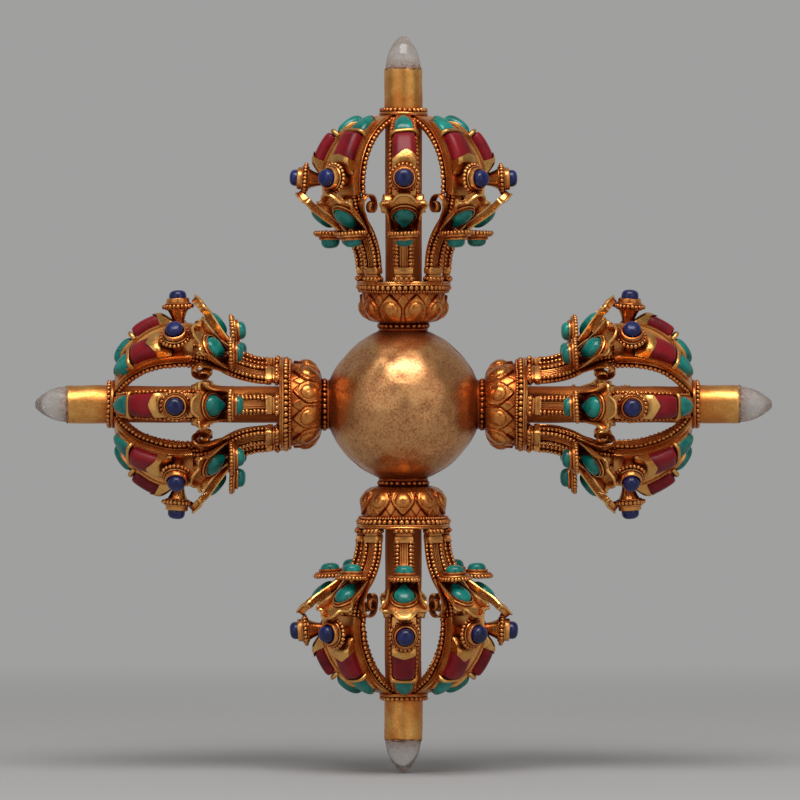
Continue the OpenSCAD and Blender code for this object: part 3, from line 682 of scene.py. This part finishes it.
def collar(rng):
    """Washer with a ring of beads round the tube."""
    profile = np.array([(5.7, 0), (7.0, 0), (7.3, 0.3), (7.3, 0.8), (7.0, 1.1), (5.7, 1.1)])
    parts = [revolve(profile + [0, COLLAR_Z], 56)]
    parts.append(beads(ring(6.55, COLLAR_Z + 1.65, 28, rng.uniform(0, 1)), 0.76, rng, 0.08))
    parts.append(wire(ring(6.9, COLLAR_Z + 0.8, 56), 0.36, 7, True))
    return parts


def tube(rng):
    """Tube with a slightly uneven wall and end."""
    a = np.linspace(0, 2 * np.pi, 72, endpoint=False)
    inside = np.linspace(20, COLLAR_Z - 0.5, 14)
    z = np.concatenate([inside, np.linspace(COLLAR_Z + 1.5, TUBE_END - 0.25, 22)])
    uneven = 0.05 * np.sin(2 * a + rng.uniform(0, 6)) + 0.03 * np.sin(5 * a + rng.uniform(0, 6))
    rings = []
    for zi in z:
        r = TUBE_R if zi > COLLAR_Z else SPINE_R
        rings.append(hoop(r + uneven * 0.8 + 0.03 * np.sin(3 * a + zi * 0.7), a, zi))
    lip = 0.14 * np.sin(3 * a + rng.uniform(0, 6)) + 0.08 * np.sin(7 * a + rng.uniform(0, 6))
    for r, dz in ((5.68, -0.1), (5.5, 0.0), (5.3, -0.1), (5.25, -0.5)):
        rings.append(hoop(r, a, TUBE_END + dz + lip))
    for r, dz in ((5.0, -2.5), (4.75, -5.2), (0.4, -5.4)):
        rings.append(hoop(r, a, TUBE_END + dz))
    return [loft(rings)]


def crystal(rng):
    """Polished crystal with a blunt point and a rough shank."""
    a = np.linspace(0, 2 * np.pi, 64, endpoint=False)
    h = CRYSTAL_H * np.sin(np.linspace(0, np.pi / 2, 34))
    ogive = np.sqrt(OGIVE_R ** 2 - h ** 2) - OGIVE_BACK
    tip_from = CRYSTAL_H - TIP_R
    ball = np.sqrt(np.clip(TIP_R ** 2 - np.clip(h - tip_from, 0, None) ** 2, 0, None))
    r = np.where(h > tip_from, np.minimum(ogive, ball), ogive) - 0.2
    r = np.maximum(r, 0.25)
    rings = []
    for ri, zi in ((1.0, -4.8), (4.0, -4.8), (4.6, -4.3), (4.85, -2.0), (5.1, -0.6)):
        rough = 0.12 * np.sin(4 * a + zi) + 0.08 * np.sin(9 * a + 2 * zi)
        rings.append(hoop(ri + rough, a, TUBE_END + zi))
    phase = rng.uniform(0, 6, 2)
    for ri, zi in zip(r, h):
        facet = 0.02 * np.sin(3 * a + phase[0]) + 0.01 * np.sin(5 * a + phase[1] + zi * 0.3)
        rings.append(hoop(ri + facet * min(1.0, ri / 3), a, TUBE_END + zi))
    return [loft(rings)]


def cement(rng):
    """Uneven bead of cement round the foot of the crystal."""
    a = np.linspace(0, 2 * np.pi, 72, endpoint=False)
    size = 0.3 + 0.1 * np.sin(3 * a + rng.uniform(0, 6)) + 0.1 * np.sin(8 * a + rng.uniform(0, 6))
    lift = 0.2 * np.sin(4 * a + rng.uniform(0, 6)) + 0.1 * np.sin(11 * a)
    path = hoop(CEMENT_R, a, TUBE_END + 0.12 + lift)
    return [wire(path, np.clip(size, 0.14, None), 7, True)]


def neck(rng):
    """Collar on the sphere with its ring of beads."""
    profile = [(5.7, 21.2), (6.9, 21.4), (6.75, 22.2), (6.6, 23.0), (6.7, 24.0), (7.0, 24.5),
               (5.7, 24.5)]
    parts = [revolve(profile, 64)]
    parts.append(beads(ring(7.1, 23.6, 26, rng.uniform(0, 1)), 0.82, rng, 0.07))
    parts.append(wire(ring(7.1, 22.45, 56), 0.4, 7, True))
    return parts


def half_ball(a, b, side):
    """Directions over half of a ball."""
    x, y, z = np.cos(a) + 0 * b, side * np.sin(a) * np.sin(b), np.sin(a) * np.cos(b)
    return np.stack([x, y, z], axis=-1)


def half_shell(side, rng):
    """Half of the hub sphere: swollen a little round the arms, with shallow hammer marks."""
    n = 130
    a = np.linspace(0.02, np.pi - 0.02, n)[:, None]
    way = half_ball(a, np.linspace(0, np.pi, n)[None], side)
    nearest = np.maximum(np.abs(way[..., 0]), np.abs(way[..., 2]))
    pole = np.degrees(np.arccos(np.clip(nearest, -1, 1)))
    r = SPHERE_R + 0.35 + 0.45 * np.exp(-((pole - 14) / 15) ** 2)
    flat = way.reshape(-1, 3)
    dents = np.zeros(n * n)
    for _ in range(DENTS):
        c = rng.normal(size=3)
        c /= np.linalg.norm(c)
        gap = np.arccos(np.clip(flat @ c, -1, 1)) * SPHERE_R
        size = rng.uniform(1.2, 2.9)
        dents += rng.uniform(0.04, 0.2) * size / 2.4 * np.exp(-(gap / size) ** 2)
    outer = way * (r - dents.reshape(n, n))[..., None]
    inner = half_ball(a, np.linspace(0, np.pi, 7)[None], side) * SHELL_IN_R
    return [loft(np.concatenate([outer, inner[:, ::-1]], axis=1))]


# Materials
def material(name):
    """Empty node material."""
    m = bpy.data.materials.new(name)
    m.use_nodes = True
    m.node_tree.nodes.clear()
    return m, m.node_tree.nodes, m.node_tree.links


def linear(r, g, b):
    """Linear colour of a screen colour given in 0 to 255."""
    out = []
    for c in (r, g, b):
        c = c / 255
        out.append(c / 12.92 if c <= 0.04045 else ((c + 0.055) / 1.055) ** 2.4)
    return (*out, 1.0)


def noise(nodes, links, coords, scale, detail=3.0, rough=0.55):
    """Noise texture on object coordinates."""
    n = nodes.new("ShaderNodeTexNoise")
    n.inputs["Scale"].default_value = scale
    n.inputs["Detail"].default_value = detail
    n.inputs["Roughness"].default_value = rough
    links.new(coords.outputs["Object"], n.inputs["Vector"])
    return n


def ramp(nodes, links, source, stops):
    """Colour ramp with stops of position and colour."""
    n = nodes.new("ShaderNodeValToRGB")
    e = n.color_ramp.elements
    while len(e) < len(stops):
        e.new(0.5)
    for item, (at, colour) in zip(e, stops):
        item.position = at
        item.color = colour
    links.new(source, n.inputs["Fac"])
    return n.outputs["Color"]


def mix_colour(nodes, links, fac, a, b):
    """Mix of two colours; each is a socket or a colour."""
    n = nodes.new("ShaderNodeMix")
    n.data_type = "RGBA"
    for name, value in (("Factor", fac), ("A", a), ("B", b)):
        kind = "VALUE" if name == "Factor" else "RGBA"
        socket = [i for i in n.inputs if i.name == name and i.type == kind][0]
        if isinstance(value, (float, tuple)):
            socket.default_value = value
        else:
            links.new(value, socket)
    return [o for o in n.outputs if o.type == "RGBA"][0]


def maths(nodes, links, kind, a, b):
    """Arithmetic on two values; each is a socket or a number."""
    n = nodes.new("ShaderNodeMath")
    n.operation = kind
    for i, value in enumerate((a, b)):
        if isinstance(value, (int, float)):
            n.inputs[i].default_value = value
        else:
            links.new(value, n.inputs[i])
    return n.outputs[0]


def swing(nodes, links, value, middle, amount):
    """How far a value is from its middle, times an amount."""
    return maths(nodes, links, "MULTIPLY", maths(nodes, links, "SUBTRACT", value, middle), amount)


def fade(nodes, links, value, start, end):
    """One up to the start, nothing from the end on."""
    n = nodes.new("ShaderNodeMapRange")
    n.interpolation_type = "SMOOTHSTEP"
    n.inputs["From Min"].default_value = start
    n.inputs["From Max"].default_value = end
    n.inputs["To Min"].default_value = 1.0
    n.inputs["To Max"].default_value = 0.0
    links.new(value, n.inputs["Value"])
    return n.outputs["Result"]


def distance(nodes, links, coords):
    """Distance from the middle of the object."""
    n = nodes.new("ShaderNodeVectorMath")
    n.operation = "LENGTH"
    links.new(coords.outputs["Object"], n.inputs[0])
    return n.outputs["Value"]


def mix_shader(nodes, links, fac, a, b):
    """Mix of two shaders by a number or a socket."""
    n = nodes.new("ShaderNodeMixShader")
    if isinstance(fac, float):
        n.inputs["Fac"].default_value = fac
    else:
        links.new(fac, n.inputs["Fac"])
    links.new(a, n.inputs[1])
    links.new(b, n.inputs[2])
    return n.outputs["Shader"]


def bumped(nodes, links, shader, height, strength):
    """Fine relief on a shader."""
    n = nodes.new("ShaderNodeBump")
    n.inputs["Strength"].default_value = strength
    n.inputs["Distance"].default_value = BUMP_M
    links.new(height, n.inputs["Height"])
    links.new(n.outputs["Normal"], shader.inputs["Normal"])


def surface(nodes, links, shader):
    """Shader as the surface of its material."""
    n = nodes.new("ShaderNodeOutputMaterial")
    links.new(shader, n.inputs["Surface"])


def grey(level):
    """Grey of one level."""
    return (level, level, level, 1)


BUMP_M = 0.0002
VEIN = (0.012, 0.016, 0.014, 1.0)


def gold(name, bright, mid, hollow_patina_and_shade, reach, rough, stain, grain=0.1, speckle=0.25, dull=0.0,
         metal=1.0, coat=0.0):
    """Fire-gilt copper: bright where it is rubbed, red patina and painted shade in its recesses."""
    m, nodes, links = material(name)
    coords = nodes.new("ShaderNodeTexCoord")
    # Painted shade: ambient occlusion pulls the colour towards the hollow tone near other parts, so
    # it stands for shade as well as the red patina of the hollows
    ao = nodes.new("ShaderNodeAmbientOcclusion")
    ao.samples = 8
    ao.inputs["Distance"].default_value = reach * MM
    cloud = noise(nodes, links, coords, 160.0, 4.0).outputs["Fac"]
    blotch = noise(nodes, links, coords, 60.0, 3.0).outputs["Fac"]
    fine = noise(nodes, links, coords, 1500.0, 3.0).outputs["Fac"]
    clouds = swing(nodes, links, cloud, 0.5, 0.7)
    specks = swing(nodes, links, fine, 0.5 + dull / speckle, speckle)
    shade_and_wear_level = maths(nodes, links, "ADD", ao.outputs["AO"], clouds)
    shade_and_wear_level = maths(nodes, links, "ADD", shade_and_wear_level, specks)
    tone = ramp(nodes, links, shade_and_wear_level, [(0.36, hollow_patina_and_shade), (0.7, mid), (1.0, bright)])
    wash = ramp(nodes, links, blotch, [(0.5, grey(0)), (0.68, grey(1))])
    share = maths(nodes, links, "MULTIPLY", wash, stain)
    b = nodes.new("ShaderNodeBsdfPrincipled")
    links.new(mix_colour(nodes, links, share, tone, mid), b.inputs["Base Color"])
    b.inputs["Metallic"].default_value = metal
    b.inputs["Coat Weight"].default_value = coat
    b.inputs["Coat Roughness"].default_value = 0.3
    b.inputs["Coat IOR"].default_value = 2.2
    polish = ramp(nodes, links, shade_and_wear_level, [(0.3, grey(0.55)), (0.85, grey(rough))])
    uneven = maths(nodes, links, "ADD", polish, swing(nodes, links, cloud, 0.5, 0.22))
    links.new(uneven, b.inputs["Roughness"])
    high = maths(nodes, links, "ADD", fine, maths(nodes, links, "MULTIPLY", cloud, 1.2))
    bumped(nodes, links, b, high, grain)
    surface(nodes, links, b.outputs["BSDF"])
    return m


def stone(name, body, dark, pale, rough, vein, spot_scale, shine):
    """Polished stone with clouds of two tones and dark veins."""
    m, nodes, links = material(name)
    coords = nodes.new("ShaderNodeTexCoord")
    cloud = noise(nodes, links, coords, 170.0, 4.0).outputs["Fac"]
    tone = ramp(nodes, links, cloud, [(0.3, dark), (0.52, body), (0.75, pale)])
    bent = noise(nodes, links, coords, 300.0, 3.0)
    shift = nodes.new("ShaderNodeVectorMath")
    shift.operation = "MULTIPLY_ADD"
    links.new(bent.outputs["Color"], shift.inputs[0])
    shift.inputs[1].default_value = (0.004, 0.004, 0.004)
    links.new(coords.outputs["Object"], shift.inputs[2])
    cells = nodes.new("ShaderNodeTexVoronoi")
    cells.feature = "DISTANCE_TO_EDGE"
    cells.inputs["Scale"].default_value = spot_scale
    links.new(shift.outputs["Vector"], cells.inputs["Vector"])
    line = ramp(nodes, links, cells.outputs["Distance"], [(0.0, grey(1)), (0.07, grey(0))])
    patch = ramp(nodes, links, bent.outputs["Fac"], [(0.5, grey(0)), (0.62, grey(1))])
    share = maths(nodes, links, "MULTIPLY", maths(nodes, links, "MULTIPLY", line, patch), vein)
    b = nodes.new("ShaderNodeBsdfPrincipled")
    links.new(mix_colour(nodes, links, share, tone, VEIN), b.inputs["Base Color"])
    b.inputs["Roughness"].default_value = rough
    b.inputs["IOR"].default_value = 1.58
    b.inputs["Specular IOR Level"].default_value = shine
    b.inputs["Subsurface Weight"].default_value = 0.05
    b.inputs["Subsurface Radius"].default_value = (0.0006, 0.0006, 0.0006)
    bumped(nodes, links, b, cloud, 0.12)
    surface(nodes, links, b.outputs["BSDF"])
    return m


def glass(name):
    """Rock crystal with milky veils, and warm specks near its foot with a painted warm reflection
    of the gold and cement there.
    """
    m, nodes, links = material(name)
    coords = nodes.new("ShaderNodeTexCoord")
    veil = noise(nodes, links, coords, 220.0, 5.0, 0.65).outputs["Fac"]
    speck = noise(nodes, links, coords, 1100.0, 3.0, 0.6).outputs["Fac"]
    far = distance(nodes, links, coords)
    foot = fade(nodes, links, far, (TUBE_END - 0.5) * MM, (TUBE_END + 4.5) * MM)
    b = nodes.new("ShaderNodeBsdfPrincipled")
    b.inputs["Base Color"].default_value = (0.95, 0.94, 0.93, 1.0)
    b.inputs["Roughness"].default_value = 0.07
    b.inputs["IOR"].default_value = 1.54
    b.inputs["Specular IOR Level"].default_value = 1.0
    b.inputs["Transmission Weight"].default_value = 1.0
    # Near the foot: cement specks, and a painted reflection of the gold and cement inside, in warm
    # tones
    warm = ramp(nodes, links, speck, [(0.42, linear(140, 92, 68)), (0.6, linear(226, 190, 164))])
    tint = mix_colour(nodes, links, foot, linear(234, 222, 212), warm)
    milk = nodes.new("ShaderNodeBsdfTranslucent")
    links.new(tint, milk.inputs["Color"])
    white = nodes.new("ShaderNodeBsdfDiffuse")
    links.new(tint, white.inputs["Color"])
    pale = mix_shader(nodes, links, 0.5, milk.outputs["BSDF"], white.outputs["BSDF"])
    share = ramp(nodes, links, veil, [(0.35, grey(0.2)), (0.7, grey(0.6))])
    cloudy = maths(nodes, links, "ADD", share, maths(nodes, links, "MULTIPLY", foot, 0.3))
    surface(nodes, links, mix_shader(nodes, links, cloudy, b.outputs["BSDF"], pale))
    return m


def spotted(name, colour, spots, rough):
    """Matt surface with spots of a second colour."""
    m, nodes, links = material(name)
    coords = nodes.new("ShaderNodeTexCoord")
    speck = noise(nodes, links, coords, 900.0, 4.0).outputs["Fac"]
    b = nodes.new("ShaderNodeBsdfPrincipled")
    links.new(ramp(nodes, links, speck, [(0.42, colour), (0.6, spots)]), b.inputs["Base Color"])
    b.inputs["Roughness"].default_value = rough
    surface(nodes, links, b.outputs["BSDF"])
    return m


BRIGHT = linear(236, 168, 92)
MID = linear(186, 88, 32)
# Darkest tone: red patina of the hollows, and painted shade where parts crowd together
HOLLOW_PATINA_AND_SHADE = linear(90, 28, 9)
LOOKS = {
    # Sphere: its occlusion paints shade round the necks
    "sphere": gold("sphere_gold", linear(216, 158, 96), linear(188, 118, 62), linear(136, 66, 28),
                   reach=6.0, rough=0.32, stain=0.35, grain=0.4, speckle=1.5, dull=0.12, coat=0.25),
    "gilt": gold("gilt_gold", BRIGHT, MID, HOLLOW_PATINA_AND_SHADE,
                 reach=2.6, rough=0.25, stain=0.55, dull=0.02, metal=0.86),
    "lotus": gold("lotus_gold", linear(222, 146, 74), linear(172, 78, 28), HOLLOW_PATINA_AND_SHADE,
                  reach=3.0, rough=0.26, stain=0.55, dull=0.06, metal=0.92),
    "leaf": gold("leaf_gold", linear(244, 186, 106), linear(194, 98, 37), linear(118, 42, 15),
                 reach=5.0, rough=0.22, stain=0.4, dull=-0.14, metal=0.85),
    # Tube: the long occlusion reach paints the prongs' shade onto the tube inside the cage
    "tube": gold("tube_gold", linear(244, 188, 106), linear(212, 128, 58), linear(184, 98, 46),
                 reach=16.0, rough=0.36, stain=0.8, grain=0.2, speckle=0.5, dull=0.06),
    "bar": gold("pale_gold", linear(232, 178, 102), linear(200, 124, 56), HOLLOW_PATINA_AND_SHADE,
                reach=1.8, rough=0.28, stain=0.5, grain=0.3, speckle=0.4, dull=0.05),
    "turquoise": stone("turquoise_stone", linear(6, 120, 108), linear(2, 86, 79),
                       linear(24, 147, 134), rough=0.22, vein=0.85, spot_scale=260.0, shine=0.38),
    "coral": stone("coral_stone", linear(128, 8, 21), linear(90, 4, 13), linear(144, 16, 29),
                   rough=0.36, vein=0.0, spot_scale=200.0, shine=0.22),
    "lapis": stone("lapis_stone", linear(19, 25, 84), linear(10, 13, 54), linear(36, 45, 110),
                   rough=0.27, vein=0.3, spot_scale=300.0, shine=0.38),
    "crystal": glass("rock_crystal"),
    "cement": spotted("brown_cement", linear(96, 58, 34), linear(186, 140, 104), rough=0.7),
}


# Pieces
def arm_turn(degrees):
    """Matrix that turns the top arm towards the right one."""
    a = math.radians(degrees)
    c, s = math.cos(a), math.sin(a)
    return np.array([[c, 0, s], [0, 1, 0], [-s, 0, c]])


def make_piece(name, parts, look, nodes, turn=0, seed=None):
    """Mesh piece in the frame of the part, with the bends of hand work where a seed is given."""
    v = np.vstack([p[0] for p in parts])
    sizes = np.cumsum([0] + [len(p[0]) for p in parts[:-1]])
    quads = np.vstack([p[1] + s for p, s in zip(parts, sizes)])
    tris = np.vstack([p[2] + s for p, s in zip(parts, sizes)])
    if seed is not None:
        v = waver(v, BEND_MM, BEND_LENGTH, np.random.default_rng(seed))
    v = v @ arm_turn(turn).T * MM
    mesh = bpy.data.meshes.new(name)
    loops = np.concatenate([quads.ravel(), tris.ravel()]).astype(np.int32)
    totals = np.concatenate([np.full(len(quads), 4), np.full(len(tris), 3)]).astype(np.int32)
    starts = np.concatenate([[0], np.cumsum(totals)[:-1]]).astype(np.int32)
    mesh.vertices.add(len(v))
    mesh.vertices.foreach_set("co", v.astype(np.float32).ravel())
    mesh.loops.add(len(loops))
    mesh.loops.foreach_set("vertex_index", loops)
    mesh.polygons.add(len(totals))
    mesh.polygons.foreach_set("loop_start", starts)
    mesh.polygons.foreach_set("loop_total", totals)
    mesh.polygons.foreach_set("use_smooth", np.ones(len(totals), bool))
    mesh.update(calc_edges=True)
    mesh.validate()
    mesh.set_sharp_from_angle(angle=math.radians(SHARP_DEG))
    piece = bpy.data.objects.new(name, mesh)
    bpy.context.collection.objects.link(piece)
    mesh.materials.append(LOOKS[look])
    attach(piece, "root")
    if nodes:
        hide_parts(*nodes)


def gather(arm, seed):
    """All pieces of a head as lists of solids."""
    found = {}
    for k in range(PRONGS):
        rng = np.random.default_rng(seed * 100 + k)
        turn = k * 360 / PRONGS + rng.normal(0, 0.5)
        disc = disc_frame(rng)
        stud = stud_frame(rng)
        made = {
            "prongs": prong_body(rng), "wires": prong_wires(rng), "leaves": leaf_setting(rng),
            "discs": disc_setting(rng, disc), "studs": stud_post(rng, stud), "clasps": clasp(rng),
            "lapis": [stud_stone(rng, stud)], "coral": [coral_stone(rng)],
            "turquoise": [leaf_stone(rng), disc_stone(rng, disc), crown_stone(rng)],
        }
        for key, parts in made.items():
            found.setdefault(key, []).extend(turned(p, turn) for p in parts)
    rng = np.random.default_rng(seed * 100 + 50)
    found["lotus"] = lotus(arm == "bottom", rng)
    for key, make in (("rim", rim), ("collar", collar), ("tube", tube), ("crystal", crystal),
                      ("cement", cement)):
        found[key] = make(rng)
    return found


# Pieces of a head: name, look, slot, and the node that it replaces
HEAD_PIECES = [
    ("prongs", "gilt", "dark_gilt", "prongs"), ("wires", "gilt", "gilt", "edge_wires"),
    ("leaves", "leaf", "gilt", "leaf_settings"), ("discs", "gilt", "gilt", "disc_settings"),
    ("studs", "gilt", "gilt", "stud_posts"), ("clasps", "bar", "gilt", "coral_clasps"),
    ("lapis", "lapis", "lapis", "lapis_stones"), ("coral", "coral", "coral", "coral_stones"),
    ("turquoise", "turquoise", "turquoise", "turquoise_stones"),
    ("lotus", "lotus", "gilt", "lotus_cup"), ("rim", "gilt", "gilt", "rim"),
    ("collar", "gilt", "gilt", "tip_collar"), ("tube", "tube", "gilt", "spine_tube"),
    ("crystal", "crystal", "crystal", "crystal_tip"), ("cement", "cement", None, None),
]

necks = []
for i, arm in enumerate(ARMS):
    head = gather(arm, i + 1)
    for key, look, slot, node in HEAD_PIECES:
        nodes = [f"{arm}_{node}"] if node else []
        make_piece(f"{arm}_head_{key}", head[key], look, nodes, i * 90, HEAD_SEED + i)
    rings = neck(np.random.default_rng(NECK_SEED + i))
    necks += [(v @ arm_turn(i * 90).T, q, t) for v, q, t in rings]

rng = np.random.default_rng(HUB_SEED)
for half, side in (("front", -1), ("back", 1)):
    shell = half_shell(side, rng)
    make_piece(f"hub_{half}_half", shell, "sphere", [f"sphere_{half}_shell"])
make_piece("hub_neck_rings", necks, "gilt", ["neck_collars"])
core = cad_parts["core_hub"]
core.data.materials.clear()
core.data.materials.append(LOOKS["gilt"])


# Stage in metres: a floor that fades into an even background, and soft light from large panels
FLOOR_Z, FLOOR_R = -0.1108, 2.4
SIDE_X, SIDE_Y, SIDE_Z = 1.207, -1.545, 0.25
BACKGROUND = (0.35, 0.35, 0.347, 1.0)
ROOM = (0.165, 0.165, 0.168, 1.0)
CAMERA_FAR, CAMERA_TILT = 2.6, math.radians(1.5)


def floor():
    """Pale paper that ends softly: close behind the object, far away on its other sides."""
    a = np.linspace(0, 2 * np.pi, 96, endpoint=False)
    edge = [(FLOOR_R * math.cos(t), FLOOR_R * math.sin(t), FLOOR_Z) for t in a]
    mesh = bpy.data.meshes.new("floor")
    mesh.from_pydata(edge, [], [range(len(a))])
    o = bpy.data.objects.new("floor", mesh)
    bpy.context.collection.objects.link(o)
    m, nodes, links = material("floor_paper")
    coords = nodes.new("ShaderNodeTexCoord")
    split = nodes.new("ShaderNodeSeparateXYZ")
    links.new(coords.outputs["Object"], split.inputs["Vector"])
    behind = fade(nodes, links, split.outputs["Y"], 0.22, 0.62)
    around = fade(nodes, links, distance(nodes, links, coords), 1.2, FLOOR_R)
    side = nodes.new("ShaderNodeNewGeometry")
    upper = maths(nodes, links, "SUBTRACT", 1.0, side.outputs["Backfacing"])
    share = maths(nodes, links, "MULTIPLY", maths(nodes, links, "MULTIPLY", behind, around), upper)
    paper = nodes.new("ShaderNodeBsdfDiffuse")
    paper.inputs["Color"].default_value = linear(176, 175, 174)
    clear = nodes.new("ShaderNodeBsdfTransparent")
    both = mix_shader(nodes, links, share, clear.outputs["BSDF"], paper.outputs["BSDF"])
    surface(nodes, links, both)
    mesh.materials.append(m)


def panel(name, size_x, size_y, at, power):
    """Soft panel of light aimed at the hub."""
    light = bpy.data.lights.new(name, "AREA")
    light.shape = "RECTANGLE"
    light.size = size_x
    light.size_y = size_y
    light.energy = power
    o = bpy.data.objects.new(name, light)
    bpy.context.collection.objects.link(o)
    o.location = at
    o.rotation_euler = (-Vector(at)).to_track_quat("-Z", "Y").to_euler()


floor()
panel("key_panel", 0.74, 0.5, (0.0, -0.5, 0.9), 6.5)
panel("over_panel", 2.2, 1.2, (0.0, -0.9, 1.6), 8.0)
panel("left_panel", 1.9, 2.4, (-SIDE_X, SIDE_Y, SIDE_Z), 9.0)
panel("right_panel", 1.9, 2.4, (SIDE_X, SIDE_Y, SIDE_Z), 9.0)

world = bpy.data.worlds.new("studio")
bpy.context.scene.world = world
world.use_nodes = True
nodes, links = world.node_tree.nodes, world.node_tree.links
sky = nodes.new("ShaderNodeTexCoord")
split = nodes.new("ShaderNodeSeparateXYZ")
links.new(sky.outputs["Generated"], split.inputs["Vector"])
front = fade(nodes, links, split.outputs["Y"], -0.4, 0.5)
tone = mix_colour(nodes, links, front, BACKGROUND, ROOM)
links.new(tone, nodes["Background"].inputs["Color"])
nodes["Background"].inputs["Strength"].default_value = 1.0

camera = bpy.data.objects.new("photo_camera", bpy.data.cameras.new("photo_camera"))
bpy.context.collection.objects.link(camera)
camera.data.sensor_width = 36
camera.data.lens = 390
camera.location = (-0.001, -CAMERA_FAR * math.cos(CAMERA_TILT),
                   0.0013 + CAMERA_FAR * math.sin(CAMERA_TILT))
camera.rotation_euler = (math.radians(90) - CAMERA_TILT, 0, 0)
bpy.context.scene.camera = camera
bpy.context.scene.view_settings.view_transform = "Standard"
